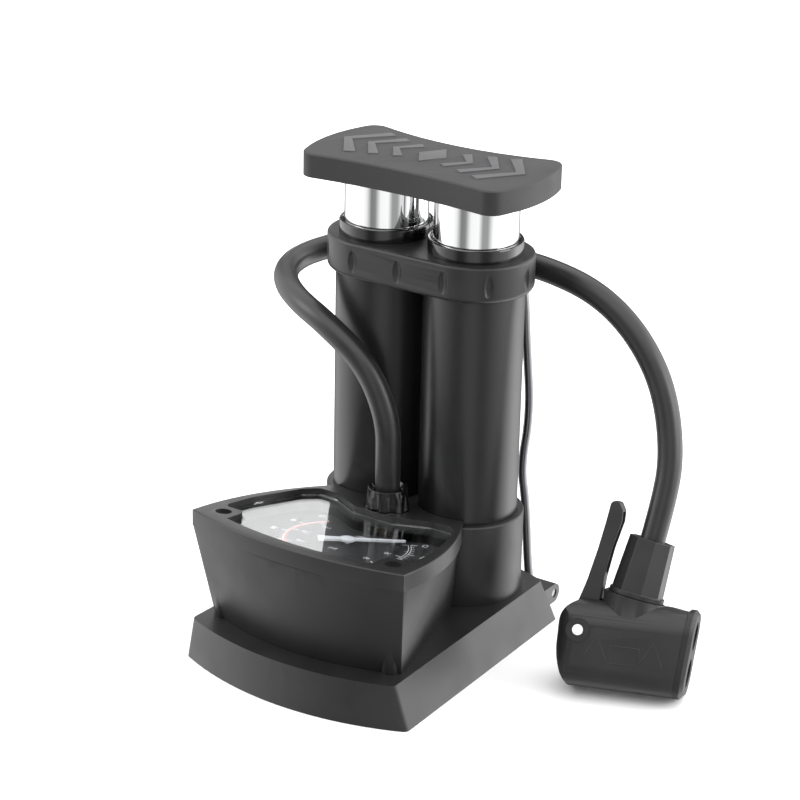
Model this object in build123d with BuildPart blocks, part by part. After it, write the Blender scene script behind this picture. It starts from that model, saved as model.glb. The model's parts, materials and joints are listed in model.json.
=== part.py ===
from build123d import *
import math
import os

os.makedirs("parts", exist_ok=True)

# A twin-barrel foot pump with a pressure gauge and a two-hole valve head.
# Millimetres.  +X runs across the two barrels, the gauge faces -Y, +Z is up.
# The origin is on the underside of the base, midway between the barrels.

# ---------------------------------------------------------------- driving dimensions
SIDES = {"left": -1, "right": 1}
BARREL_X = 20.0  # barrel axes stand this far each side of the middle
BARREL_R = 19.0
BARREL_BORE_R = 17.5
BARREL_BOTTOM = 22.0
BARREL_TOP = 149.8

TUBE_R = 16.0  # chromed piston tubes
TUBE_WALL = 1.2
TUBE_BOTTOM = 74.0
RUNNING_GAP = 0.07  # radial clearance of sliding fits
WEB_DEPTH = 20.0
SEAT_GAP = 0.1  # radial clearance of pieces that only sit in each other

BASE_HEIGHT = 18.0
BASE_WALL = 2.6
PLATE_THICKNESS = 2.4
COLLAR_R = 21.66
COLLAR_TOP = 50.8

BAND_R = 22.3
BAND_BOTTOM = 140.0
BAND_TOP = 154.0
BAND_DECK = 4.0
RING_TOP = 159.0
RING_R = 17.9

PEDAL_BOTTOM = 176.9
PEDAL_TOP = 186.2
PEDAL_SKIN = 2.4

HUB_Y = -53.0  # gauge needle axis
LID_HUB_Z = 57.4  # height of the lid's top plane over the needle axis
LID_SLOPE = math.radians(7.47)  # the gauge face leans towards the barrels
LID_THICKNESS = 6.5
DIAL_DEPTH = 9.6  # dial face below the lid's top plane
HUB_SHIFT = 2.4  # needle axis behind the middle of the dial, in the dial's plane
NEEDLE_REST_ANGLE = 42.0
NEEDLE_LIFT = 1.0

HOSE_R = 4.75
NUT_Y = -25.5

WIRE_R = 1.7
BAIL_PIVOT_Y = 30.0
BAIL_PIVOT_Z = 8.0
EAR_R = 3.9

HEAD_YAW = 20.0
HEAD_ROLL = 22.0  # the head rests tilted back on one rounded lower edge
HEAD_ORIGIN = (101.43, -14.0, 1.98)
HEAD_HALF_WIDTH = 12.5
PIN_S = -19.4  # lever pin, measured along the head and up from its underside
PIN_Z = 21.6
STUB_S = -1.44  # foot of the hose collar
STUB_Z = 32.3
STUB_LEAN = 10.0
STUB_LENGTH = 25.0
STUB_TURN = 13.75  # one corner of the collar faces forwards
STUB_SOCKET_DEPTH = 3.0

SCREW_R = 1.2
SCREW_HEAD_R = 2.6
BOTTOM_SCREWS = [(34, -70), (-34, -70), (34, 8), (-34, 8)]
PAD_CENTRES = [(0, -82), (0, -56), (0, 16)]
PAD_LENGTH = 46.0
PAD_WIDTH = 9.0
PAD_THICKNESS = 1.0

RING_BOTTOM = 134.0
TUBE_TOP = 182.0
CORE_TOP = 183.4
PISTON_BOTTOM = 62.0
PISTON_R = 17.2
GROOVE_R = 15.2
SEAL_Z = 68.0
SEAL_SECTION_R = 1.1
VALVE_HOLE_PCD_R = 5.0
VALVE_STEM_R = 1.2

SPRING_R = 11.5
SPRING_WIRE_R = 1.0
SPRING_PITCH = 6.4
SPRING_BOTTOM = 23.1
SPRING_TOP = 60.9

SCALLOP_HALF_HEIGHT = 5.8
SCALLOP_R = 2.2
SCALLOP_STANDOFF = 1.0
CLIP_Y = 28.0
CLIP_Z = 142.5
CLIP_HALF_LENGTH = 4.0
CLIP_WALL = 1.5

CATCH_HALF_WIDTH = 5.5
CATCH_THICKNESS = 1.8
CATCH_SCREW_Y = 10.5
CATCH_SCREWS = (-3.0, 3.0)

HOUSING_WALL = 2.0
HOUSING_LOFT_TOP = 56.0
LID_LOW_Z = 38.0
LID_SCREWS = [(38.0, -77.5), (-38.0, -77.5)]
LID_SCREWS_IN_PLANE = [(38.0, -24.7), (-38.0, -24.7)]
LID_SCREW_SEAT = 4.2
LID_SCREW_LENGTH = 11.0
LENS_DEPTH = 2.2
LENS_THICKNESS = 1.6
DIAL_THICKNESS = 1.0
CUP_R = 15.0
CUP_DEPTH = 9.0
ARBOR_R = 0.85
ARBOR_LENGTH = 9.5

BARB_R = 4.2
HOSE_START_Z = 57.0
NUT_BOTTOM = 52.7
NUT_TOP = 62.5
NUT_FOOT_R = 8.3
NUT_TIP_R = 7.4
HEAD_HEIGHT = 33.0
HEAD_CORNER_R = 9.0
FACE_TILT = 4.5
FACE_S = 22.0
CAP_THICKNESS = 3.6
UPPER_HOLE_Y = 7.0
LOWER_HOLE_Y = -6.8
MOUTH_R = 5.4
SEAL_R = 6.3
SEAL_LENGTH = 8.0
SCHRADER_R = 4.0
PRESTA_R = 3.0
SLOT_HALF_WIDTH = 5.6
LEVER_HALF_WIDTH = 5.2
PIN_R = 2.0
CAM_R = 6.4
CAM_OFFSET = 1.5
PLUNGER_S = -8.1
BOSS_R = 4.4
BOSS_HEIGHT = 0.8
NECK_S = -1.9
NECK_R = 11.8
NECK_BOTTOM = 20.0
STUB_FOOT_R = 7.0
STUB_RING_R = 10.4
STUB_RING_Z = 3.0

PORT_BOTTOM = 24.0
PORT_TOP = 44.0
PORT_HALF_WIDTH = 6.0
BARB_BORE_R = 1.6

LID_NORMAL = (0, math.sin(LID_SLOPE), math.cos(LID_SLOPE))
LID_PLANE = Plane(origin=(0, HUB_Y, LID_HUB_Z), x_dir=(1, 0, 0), z_dir=LID_NORMAL)
LID_UNDER = LID_PLANE.offset(-LID_THICKNESS)
DIAL_PLANE = LID_PLANE.offset(-DIAL_DEPTH)
HUB_PLANE = Plane(origin=DIAL_PLANE.from_local_coords((0, HUB_SHIFT, 0)), x_dir=(1, 0, 0), z_dir=LID_NORMAL)

yaw = math.radians(HEAD_YAW)
roll = math.radians(HEAD_ROLL)
HEAD_ALONG = (math.cos(yaw), math.sin(yaw), 0)
HEAD_SIDE = (math.sin(yaw) * math.cos(roll), -math.cos(yaw) * math.cos(roll), math.sin(roll))
HEAD_UP = (-math.sin(yaw) * math.sin(roll), math.cos(yaw) * math.sin(roll), math.cos(roll))
HEAD_ACROSS = (-HEAD_SIDE[0], -HEAD_SIDE[1], -HEAD_SIDE[2])
HEAD_SIDE_PLANE = Plane(origin=HEAD_ORIGIN, x_dir=HEAD_ALONG, z_dir=HEAD_SIDE)
HEAD_FLOOR_PLANE = Plane(origin=HEAD_ORIGIN, x_dir=HEAD_ALONG, z_dir=HEAD_UP)

lean = math.radians(STUB_LEAN)
STUB_AXIS = Vector(*HEAD_ALONG) * math.sin(lean) + Vector(*HEAD_UP) * math.cos(lean)
STUB_BASE = Vector(*HEAD_ORIGIN) + Vector(*HEAD_ALONG) * STUB_S + Vector(*HEAD_UP) * STUB_Z
STUB_PLANE = Plane(origin=STUB_BASE, x_dir=HEAD_ACROSS, z_dir=STUB_AXIS)
HOSE_END = STUB_BASE + STUB_AXIS * (STUB_LENGTH - STUB_SOCKET_DEPTH)


def bowed_outline(front, front_bow, back, back_bow):
    """Face with bowed front and back edges and straight sides, symmetric about X = 0."""
    (front_x, front_y), (back_x, back_y) = front, back
    with BuildSketch() as outline:
        with BuildLine():
            ThreePointArc((-front_x, front_y), (0, front_bow), (front_x, front_y))
            Line((front_x, front_y), (back_x, back_y))
            ThreePointArc((back_x, back_y), (0, back_bow), (-back_x, back_y))
            Line((-back_x, back_y), (-front_x, front_y))
        make_face()
    return outline.sketch


def housing_outline(front, front_bow, side, back, rear):
    """Gauge housing outline: bowed front, bowed sides, then a tongue back between the barrels."""
    with BuildSketch() as outline:
        with BuildLine():
            ThreePointArc((-front[0], front[1]), (0, front_bow), front)
            ThreePointArc(front, side, back)
            Line(back, rear)
            Line(rear, (-rear[0], rear[1]))
            Line((-rear[0], rear[1]), (-back[0], back[1]))
            ThreePointArc((-back[0], back[1]), (-side[0], side[1]), (-front[0], front[1]))
        make_face()
    return outline.sketch


def window_outline(grow):
    """Gauge window in the lid plane, needle axis at the origin, widened all round by grow."""
    front_corner = [(32.2, -30.2), (32.2, -18.8), (42.6, -18.8), (40.9, -2)]
    right = front_corner + [(34.8, 20.5), (30.5, 26.8), (22, 26.6), (9, 18.9)]
    middle_y, half_width, half_depth = -3.85, 42.6, 30.65
    x_scale = 1 + grow / half_width
    y_scale = 1 + grow / half_depth
    right = [(x * x_scale, middle_y + (y - middle_y) * y_scale) for x, y in right]
    left = [(-x, y) for x, y in reversed(right)]
    front = middle_y - (half_depth + grow)
    with BuildSketch() as outline:
        with BuildLine():
            ThreePointArc(left[-1], (0, front), right[0])
            Polyline(*right, *left)
        make_face()
        fillet(outline.vertices().filter_by_position(Axis.Y, -22, 30), 3.0)
    return outline.sketch


def bail_ear(inner_x, outer_x):
    """Rounded ear behind the base, bored along X for one end of the locking bail."""
    with BuildPart() as ear:
        with BuildSketch(Plane.YZ.offset(inner_x)):
            with BuildLine():
                Polyline((22, BAIL_PIVOT_Z - EAR_R), (BAIL_PIVOT_Y, BAIL_PIVOT_Z - EAR_R))
                ThreePointArc(
                    (BAIL_PIVOT_Y, BAIL_PIVOT_Z - EAR_R),
                    (BAIL_PIVOT_Y + EAR_R, BAIL_PIVOT_Z),
                    (BAIL_PIVOT_Y, BAIL_PIVOT_Z + EAR_R),
                )
                Polyline(
                    (BAIL_PIVOT_Y, BAIL_PIVOT_Z + EAR_R),
                    (22, BAIL_PIVOT_Z + EAR_R),
                    (22, BAIL_PIVOT_Z - EAR_R),
                )
            make_face()
        extrude(amount=outer_x - inner_x)
    return ear.part


# ---------------------------------------------------------------- base
with BuildPart() as base_shell:
    with BuildSketch(Plane.XY):
        add(bowed_outline((50.5, -84.8), -96, (47.3, 25.5), 31))
    with BuildSketch(Plane.XY.offset(BASE_HEIGHT)):
        add(bowed_outline((45.9, -86.8), -96, (43.4, 18.9), 27))
    loft(ruled=True)
    upright = base_shell.edges().filter_by(lambda edge: edge.bounding_box().size.Z > BASE_HEIGHT - 0.1)
    fillet(upright, 2.5)
    with BuildSketch(Plane.XY):
        add(bowed_outline((47.6, -83.2), -93.2, (44.6, 22.9), 28.2))
    with BuildSketch(Plane.XY.offset(BASE_HEIGHT - BASE_WALL)):
        add(bowed_outline((43.3, -84.9), -93.2, (41.0, 16.6), 24.2))
    loft(ruled=True, mode=Mode.SUBTRACT)
    # bosses for the bottom screws
    with BuildSketch(Plane.XY.offset(PLATE_THICKNESS)):
        with Locations(*BOTTOM_SCREWS):
            Circle(3.4)
    extrude(amount=BASE_HEIGHT - BASE_WALL - PLATE_THICKNESS)
    with BuildSketch(Plane.XY.offset(PLATE_THICKNESS)):
        with Locations(*BOTTOM_SCREWS):
            Circle(SCREW_R + 0.05)
    extrude(amount=9, mode=Mode.SUBTRACT)
    # ears that carry the ends of the locking bail
    add(bail_ear(34, 43))
    add(bail_ear(-43, -34))
    with BuildSketch(Plane.YZ.offset(-43)):
        with Locations((BAIL_PIVOT_Y, BAIL_PIVOT_Z)):
            Circle(WIRE_R + 0.06)
    extrude(amount=86, mode=Mode.SUBTRACT)
base_shell.part.label = "base_shell"
export_step(base_shell.part, "parts/base_shell.step")

with BuildPart() as base_plate:
    with BuildSketch(Plane.XY):
        add(bowed_outline((46.8, -83.2), -92.9, (43.9, 21.9), 27.4))
    extrude(amount=PLATE_THICKNESS)
    with Locations(*[(x, y, 0) for x, y in BOTTOM_SCREWS]):
        Cylinder(SCREW_HEAD_R + 0.3, 1.4, align=(Align.CENTER, Align.CENTER, Align.MIN), mode=Mode.SUBTRACT)
        Cylinder(SCREW_R + 0.3, PLATE_THICKNESS, align=(Align.CENTER, Align.CENTER, Align.MIN), mode=Mode.SUBTRACT)
    with BuildSketch(Plane.XY):
        with Locations(*PAD_CENTRES):
            SlotOverall(PAD_LENGTH, PAD_WIDTH)
    extrude(amount=PAD_THICKNESS, mode=Mode.SUBTRACT)
base_plate.part.label = "base_plate"
export_step(base_plate.part, "parts/base_plate.step")

with BuildPart() as base_pads:
    with BuildSketch(Plane.XY):
        with Locations(*PAD_CENTRES):
            SlotOverall(PAD_LENGTH - 0.2, PAD_WIDTH - 0.2)
    extrude(amount=PAD_THICKNESS)
base_pads.part.label = "base_pads"
export_step(base_pads.part, "parts/base_pads.step")

with BuildPart() as base_screws:
    with Locations(*[(x, y, 0.2) for x, y in BOTTOM_SCREWS]):
        Cylinder(SCREW_HEAD_R, 1.2, align=(Align.CENTER, Align.CENTER, Align.MIN))
        Cylinder(SCREW_R, 9, align=(Align.CENTER, Align.CENTER, Align.MIN))
        Box(3.6, 0.7, 1.2, align=(Align.CENTER, Align.CENTER, Align.CENTER), mode=Mode.SUBTRACT)
        Box(0.7, 3.6, 1.2, align=(Align.CENTER, Align.CENTER, Align.CENTER), mode=Mode.SUBTRACT)
base_screws.part.label = "base_screws"
export_step(base_screws.part, "parts/base_screws.step")

# ---------------------------------------------------------------- barrels and collars
with BuildPart() as barrel_collars:
    with BuildSketch(Plane.XY.offset(BASE_HEIGHT)):
        with Locations((-BARREL_X, 0), (BARREL_X, 0)):
            Circle(COLLAR_R)
        Rectangle(2 * BARREL_X, WEB_DEPTH)
    extrude(amount=COLLAR_TOP - BASE_HEIGHT)
    with BuildSketch(Plane.XY.offset(BARREL_BOTTOM)):
        with Locations((-BARREL_X, 0), (BARREL_X, 0)):
            Circle(BARREL_R + SEAT_GAP)
    extrude(amount=COLLAR_TOP, mode=Mode.SUBTRACT)
    # port block under the hose barb, with an air passage from both barrels
    with BuildSketch(Plane.XY.offset(PORT_BOTTOM)):
        with Locations((0, -20.5)):
            Rectangle(2 * PORT_HALF_WIDTH, 21)
    extrude(amount=PORT_TOP - PORT_BOTTOM)
    with BuildSketch(Plane.XY.offset(BARREL_BOTTOM)):
        with Locations((-BARREL_X, 0), (BARREL_X, 0)):
            Circle(BARREL_R + SEAT_GAP)
    extrude(amount=PORT_TOP, mode=Mode.SUBTRACT)
    with Locations((0, NUT_Y, PORT_TOP)):
        Hole(BARB_BORE_R, depth=14)
    with BuildSketch(Plane.XZ.offset(-NUT_Y)):
        with Locations((0, PORT_TOP - 12)):
            Circle(BARB_BORE_R)
    extrude(amount=-17.5, mode=Mode.SUBTRACT)
    with Locations(*[(side * BARREL_X, 0, BARREL_BOTTOM) for side in SIDES.values()]):
        Hole(2.5, depth=BARREL_BOTTOM - BASE_HEIGHT)
    top_rim = barrel_collars.edges().filter_by_position(Axis.Z, COLLAR_TOP - 0.01, COLLAR_TOP + 0.01)
    fillet(top_rim.filter_by(lambda edge: edge.radius > COLLAR_R - 0.1 if edge.geom_type == GeomType.CIRCLE else False), 0.8)
barrel_collars.part.label = "barrel_collars"
export_step(barrel_collars.part, "parts/barrel_collars.step")

for side_name, side in SIDES.items():
    with BuildPart() as barrel:
        with BuildSketch(Plane.XY.offset(BARREL_BOTTOM + 0.1)):
            with Locations((side * BARREL_X, 0)):
                Circle(BARREL_R)
                Circle(BARREL_BORE_R, mode=Mode.SUBTRACT)
        extrude(amount=BARREL_TOP - BARREL_BOTTOM - 0.1)
    barrel.part.label = f"barrel_{side_name}"
    export_step(barrel.part, f"parts/barrel_{side_name}.step")

    with BuildPart() as guide_ring:
        with BuildSketch(Plane.XY.offset(RING_BOTTOM)):
            with Locations((side * BARREL_X, 0)):
                Circle(BARREL_BORE_R - SEAT_GAP)
        extrude(amount=BAND_TOP - RING_BOTTOM)
        with BuildSketch(Plane.XY.offset(BAND_TOP)):
            with Locations((side * BARREL_X, 0)):
                Circle(RING_R)
        extrude(amount=RING_TOP - BAND_TOP)
        chamfer(guide_ring.faces().sort_by(Axis.Z)[-1].edges(), 0.4)
        with BuildSketch(Plane.XY.offset(RING_BOTTOM)):
            with Locations((side * BARREL_X, 0)):
                Circle(TUBE_R + RUNNING_GAP)
        extrude(amount=RING_TOP - RING_BOTTOM, mode=Mode.SUBTRACT)
    guide_ring.part.label = f"guide_ring_{side_name}"
    export_step(guide_ring.part, f"parts/guide_ring_{side_name}.step")

    # ------------------------------------------------------------ moving piston assembly
    with BuildPart() as piston_tube:
        with BuildSketch(Plane.XY.offset(TUBE_BOTTOM)):
            with Locations((side * BARREL_X, 0)):
                Circle(TUBE_R)
                Circle(TUBE_R - TUBE_WALL, mode=Mode.SUBTRACT)
        extrude(amount=TUBE_TOP - TUBE_BOTTOM)
    piston_tube.part.label = f"piston_tube_{side_name}"
    export_step(piston_tube.part, f"parts/piston_tube_{side_name}.step")

    with BuildPart() as piston:
        with BuildSketch(Plane.XZ):
            with BuildLine():
                Polyline(
                    (0, PISTON_BOTTOM),
                    (PISTON_R, PISTON_BOTTOM),
                    (PISTON_R, SEAL_Z - 1.5),
                    (GROOVE_R, SEAL_Z - 1.5),
                    (GROOVE_R, SEAL_Z + 1.5),
                    (PISTON_R, SEAL_Z + 1.5),
                    (PISTON_R, TUBE_BOTTOM),
                    (TUBE_R - TUBE_WALL - SEAT_GAP, TUBE_BOTTOM),
                    (TUBE_R - TUBE_WALL - SEAT_GAP, TUBE_BOTTOM + 8),
                    (12, TUBE_BOTTOM + 8),
                    (12, TUBE_BOTTOM - 4),
                    (0, TUBE_BOTTOM - 4),
                    close=True,
                )
            make_face()
        revolve(axis=Axis.Z)
        with PolarLocations(VALVE_HOLE_PCD_R, 6):
            Cylinder(1.3, 2 * TUBE_BOTTOM, mode=Mode.SUBTRACT)
        Cylinder(VALVE_STEM_R + SEAT_GAP, 2 * TUBE_BOTTOM, mode=Mode.SUBTRACT)
    piston_placed = piston.part.moved(Location((side * BARREL_X, 0, 0)))
    piston_placed.label = f"piston_{side_name}"
    export_step(piston_placed, f"parts/piston_{side_name}.step")

    with BuildPart() as piston_seal:
        with BuildSketch(Plane.XZ):
            with Locations((BARREL_BORE_R - RUNNING_GAP - SEAL_SECTION_R, SEAL_Z)):
                Circle(SEAL_SECTION_R)
        revolve(axis=Axis.Z)
    seal_placed = piston_seal.part.moved(Location((side * BARREL_X, 0, 0)))
    seal_placed.label = f"piston_seal_{side_name}"
    export_step(seal_placed, f"parts/piston_seal_{side_name}.step")

    with BuildPart() as return_spring:
        with BuildLine():
            coil = Helix(SPRING_PITCH, SPRING_TOP - SPRING_BOTTOM, SPRING_R, center=(0, 0, SPRING_BOTTOM))
        with BuildSketch(Plane(origin=coil @ 0, z_dir=coil % 0)):
            Circle(SPRING_WIRE_R)
        sweep(path=coil)
    spring_placed = return_spring.part.moved(Location((side * BARREL_X, 0, 0)))
    spring_placed.label = f"return_spring_{side_name}"
    export_step(spring_placed, f"parts/return_spring_{side_name}.step")

with BuildPart() as inlet_valves:
    with Locations(*[(side * BARREL_X, 0, PISTON_BOTTOM) for side in SIDES.values()]):
        Cylinder(8, 1, align=(Align.CENTER, Align.CENTER, Align.MAX))
        Cylinder(VALVE_STEM_R, 6, align=(Align.CENTER, Align.CENTER, Align.MIN))
inlet_valves.part.label = "inlet_valves"
export_step(inlet_valves.part, "parts/inlet_valves.step")

with BuildPart() as outlet_valves:
    with Locations(*[(side * BARREL_X, 0, BARREL_BOTTOM) for side in SIDES.values()]):
        Cylinder(5.5, 1, align=(Align.CENTER, Align.CENTER, Align.MIN))
outlet_valves.part.label = "outlet_valves"
export_step(outlet_valves.part, "parts/outlet_valves.step")

# ---------------------------------------------------------------- top band with the hose clip
with BuildPart() as top_band:
    with BuildSketch(Plane.XY.offset(BAND_BOTTOM)):
        SlotCenterToCenter(2 * BARREL_X, 2 * BAND_R)
    extrude(amount=BAND_TOP - BAND_BOTTOM)
    fillet(top_band.faces().sort_by(Axis.Z)[-1].edges(), 1.2)
    fillet(top_band.faces().sort_by(Axis.Z)[0].edges(), 2.4)
    # ring clip that holds the hose behind the band
    with BuildSketch(Plane.YZ.offset(-CLIP_HALF_LENGTH)):
        with Locations((CLIP_Y, CLIP_Z)):
            Circle(HOSE_R + 0.3 + CLIP_WALL)
    extrude(amount=2 * CLIP_HALF_LENGTH)
    with BuildSketch(Plane.YZ.offset(-CLIP_HALF_LENGTH)):
        with Locations((CLIP_Y, CLIP_Z)):
            Circle(HOSE_R + 0.3)
        with Locations((CLIP_Y + 6, CLIP_Z)):
            Rectangle(8, 6.5)
    extrude(amount=2 * CLIP_HALF_LENGTH, mode=Mode.SUBTRACT)
    with BuildSketch(Plane.XY.offset(BAND_BOTTOM)):
        with Locations((-BARREL_X, 0), (BARREL_X, 0)):
            Circle(BARREL_R + SEAT_GAP)
    extrude(amount=BAND_TOP - BAND_DECK - BAND_BOTTOM, mode=Mode.SUBTRACT)
    with BuildSketch(Plane.XY.offset(BAND_TOP)):
        with Locations((-BARREL_X, 0), (BARREL_X, 0)):
            Circle(BARREL_BORE_R)
    extrude(amount=-BAND_DECK, mode=Mode.SUBTRACT)
    # finger scallops, each a vertical spindle sunk into the outer wall
    with BuildPart(mode=Mode.PRIVATE) as spindle:
        with BuildSketch(Plane.XZ):
            with BuildLine():
                ThreePointArc((0, -SCALLOP_HALF_HEIGHT), (SCALLOP_R, 0), (0, SCALLOP_HALF_HEIGHT))
                Line((0, SCALLOP_HALF_HEIGHT), (0, -SCALLOP_HALF_HEIGHT))
            make_face()
        revolve(axis=Axis.Z)
    reach = BAND_R + SCALLOP_STANDOFF
    straight = [(x, -reach) for x in (-BARREL_X, 0, BARREL_X)] + [(-BARREL_X, reach), (BARREL_X, reach)]
    turned = [
        (side * (BARREL_X + reach * math.cos(math.radians(angle))), reach * math.sin(math.radians(angle)))
        for side in SIDES.values()
        for angle in (-45, 0, 45)
    ]
    with Locations(*[(x, y, (BAND_BOTTOM + BAND_TOP) / 2) for x, y in straight + turned]):
        add(spindle.part, mode=Mode.SUBTRACT)
top_band.part.label = "top_band"
export_step(top_band.part, "parts/top_band.step")

# ---------------------------------------------------------------- pedal


def pedal_outline(inset):
    """Pedal from above: bowed ends and waisted long sides."""
    corner_x = 41.5 - inset
    front_y, back_y = inset - 25.6, 25.2 - inset
    with BuildSketch() as outline:
        with BuildLine():
            ThreePointArc((-corner_x, front_y), (0, inset - 22.3), (corner_x, front_y))
            ThreePointArc((corner_x, front_y), (47.0 - inset, -1), (corner_x, back_y))
            ThreePointArc((corner_x, back_y), (0, 17.8 - inset), (-corner_x, back_y))
            ThreePointArc((-corner_x, back_y), (inset - 47.0, -1), (-corner_x, front_y))
        make_face()
        fillet(outline.vertices(), 6 - inset)
    return outline.sketch


with BuildPart() as pedal_cover:
    with BuildSketch(Plane.XY.offset(PEDAL_BOTTOM)):
        add(pedal_outline(0))
    extrude(amount=PEDAL_TOP - PEDAL_BOTTOM)
    fillet(pedal_cover.faces().sort_by(Axis.Z)[-1].edges(), 0.7)
    with BuildSketch(Plane.XY.offset(PEDAL_BOTTOM)):
        add(pedal_outline(PEDAL_SKIN))
    extrude(amount=CORE_TOP - PEDAL_BOTTOM + SEAT_GAP, mode=Mode.SUBTRACT)
    # notch behind for the latch catch
    with Locations((0, 18, PEDAL_BOTTOM)):
        Box(2 * CATCH_HALF_WIDTH + 0.6, 10, 4.6, mode=Mode.SUBTRACT)
    # raised grip pattern: three chevrons each way and a diamond between them
    with BuildSketch(Plane.XY.offset(PEDAL_TOP)):
        for side in SIDES.values():
            for apex, half, run, width in ((40.0, 15.6, 10.8, 3.8), (29.0, 12.6, 8.8, 3.1), (17.6, 9.6, 6.4, 2.8)):
                with BuildLine():
                    Polyline(
                        (side * apex, 0),
                        (side * (apex - run), half),
                        (side * (apex - run - width), half - 2.2),
                        (side * (apex - width), 0),
                        (side * (apex - run - width), 2.2 - half),
                        (side * (apex - run), -half),
                        close=True,
                    )
                make_face()
        with BuildLine():
            Polyline((6.0, 0), (0, 9.4), (-6.0, 0), (0, -9.4), close=True)
        make_face()
    extrude(amount=0.5)
pedal_cover.part.label = "pedal_cover"
export_step(pedal_cover.part, "parts/pedal_cover.step")

with BuildPart() as pedal_core:
    with BuildSketch(Plane.XY.offset(PEDAL_BOTTOM + 0.2)):
        add(pedal_outline(PEDAL_SKIN + SEAT_GAP))
    extrude(amount=CORE_TOP - PEDAL_BOTTOM - 0.2)
    with BuildSketch(Plane.XY.offset(PEDAL_BOTTOM + 0.2)):
        with Locations((-BARREL_X, 0), (BARREL_X, 0)):
            Circle(TUBE_R + SEAT_GAP)
    extrude(amount=TUBE_TOP - PEDAL_BOTTOM, mode=Mode.SUBTRACT)
    with Locations((0, 14, PEDAL_BOTTOM)):
        Box(2 * CATCH_HALF_WIDTH + 0.4, 22, 4.0, mode=Mode.SUBTRACT)
    with Locations(*[(x, CATCH_SCREW_Y, PEDAL_BOTTOM) for x in CATCH_SCREWS]):
        Cylinder(SCREW_R + 0.05, 11, mode=Mode.SUBTRACT)
pedal_core.part.label = "pedal_core"
export_step(pedal_core.part, "parts/pedal_core.step")

with BuildPart() as latch_catch:
    with Locations((0, 7.5, PEDAL_BOTTOM)):
        Box(2 * CATCH_HALF_WIDTH, 15.5, CATCH_THICKNESS, align=(Align.CENTER, Align.MIN, Align.MIN))
    fillet(latch_catch.edges().filter_by(Axis.Z).group_by(Axis.Y)[-1], 2)
    with Locations(*[(x, CATCH_SCREW_Y, PEDAL_BOTTOM) for x in CATCH_SCREWS]):
        Cylinder(SCREW_R + 0.3, 6, mode=Mode.SUBTRACT)
latch_catch.part.label = "latch_catch"
export_step(latch_catch.part, "parts/latch_catch.step")

with BuildPart() as catch_screws:
    with Locations(*[(x, CATCH_SCREW_Y, PEDAL_BOTTOM) for x in CATCH_SCREWS]):
        Cylinder(SCREW_HEAD_R, 1.1, align=(Align.CENTER, Align.CENTER, Align.MAX))
        Cylinder(SCREW_R, 5.2, align=(Align.CENTER, Align.CENTER, Align.MIN))
    fillet(catch_screws.faces().sort_by(Axis.Z)[0:2].edges(), 0.5)
catch_screws.part.label = "catch_screws"
export_step(catch_screws.part, "parts/catch_screws.step")

# ---------------------------------------------------------------- wire locking bail
BAIL_LEG = [
    (42.6, BAIL_PIVOT_Y, BAIL_PIVOT_Z),
    (31.0, BAIL_PIVOT_Y, BAIL_PIVOT_Z),
    (26.6, 32.6, 43),
    (23.2, 33.6, 56),
    (25.4, 35.4, 79.5),
    (21.3, 37.2, 107),
    (18.2, 39.6, 128),
    (12.5, 40.8, 145),
    (10.0, 33.5, 168),
    (9.0, 26.0, 181),
]
BAIL_BENDS = [4, 10, 8, 14, 20, 20, 12, 8, 4.5]
with BuildPart() as locking_bail:
    with BuildLine():
        bail_line = FilletPolyline(
            *BAIL_LEG,
            *[(-x, y, z) for x, y, z in reversed(BAIL_LEG)],
            radius=[*BAIL_BENDS, *reversed(BAIL_BENDS)],
        )
    with BuildSketch(Plane(origin=bail_line @ 0, z_dir=bail_line % 0)):
        Circle(WIRE_R)
    sweep(path=bail_line)
locking_bail.part.label = "locking_bail"
export_step(locking_bail.part, "parts/locking_bail.step")

# ---------------------------------------------------------------- gauge housing and lid
with BuildPart() as gauge_housing:
    with BuildSketch(Plane.XY.offset(BASE_HEIGHT)):
        add(housing_outline((42.6, -77.5), -87.0, (35.3, -50), (27.4, -21.5), (24, -11)))
    with BuildSketch(Plane.XY.offset(HOUSING_LOFT_TOP)):
        add(housing_outline((47.4, -84.3), -93.5, (43.6, -51), (30.5, -20), (27, -11)))
    loft(ruled=True)
    with BuildSketch(Plane.XY.offset(BASE_HEIGHT + HOUSING_WALL)):
        add(housing_outline((40.4, -75.6), -84.8, (33.4, -50), (26.0, -25), (22, -24)))
    with BuildSketch(Plane.XY.offset(HOUSING_LOFT_TOP)):
        add(housing_outline((45.2, -82.2), -91.2, (41.8, -51), (29.4, -25), (26, -24)))
    loft(ruled=True, mode=Mode.SUBTRACT)
    with BuildSketch(Plane.XY.offset(BASE_HEIGHT)):
        with Locations(*LID_SCREWS):
            Circle(3.5)
    extrude(amount=HOUSING_LOFT_TOP - BASE_HEIGHT)
    split(bisect_by=LID_UNDER, keep=Keep.BOTTOM)
    with BuildSketch(Plane.XY.offset(BASE_HEIGHT)):
        with Locations((-BARREL_X, 0), (BARREL_X, 0)):
            Circle(COLLAR_R + SEAT_GAP)
        with Locations((0, -19)):
            Rectangle(2 * PORT_HALF_WIDTH + 0.4, 24.6)
    extrude(amount=HOUSING_LOFT_TOP - BASE_HEIGHT, mode=Mode.SUBTRACT)
    with BuildSketch(LID_PLANE):
        with Locations(*LID_SCREWS_IN_PLANE):
            Circle(SCREW_R + SEAT_GAP)
    extrude(amount=-LID_SCREW_SEAT - LID_SCREW_LENGTH - 0.5, mode=Mode.SUBTRACT)
gauge_housing.part.label = "gauge_housing"
export_step(gauge_housing.part, "parts/gauge_housing.step")

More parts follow.
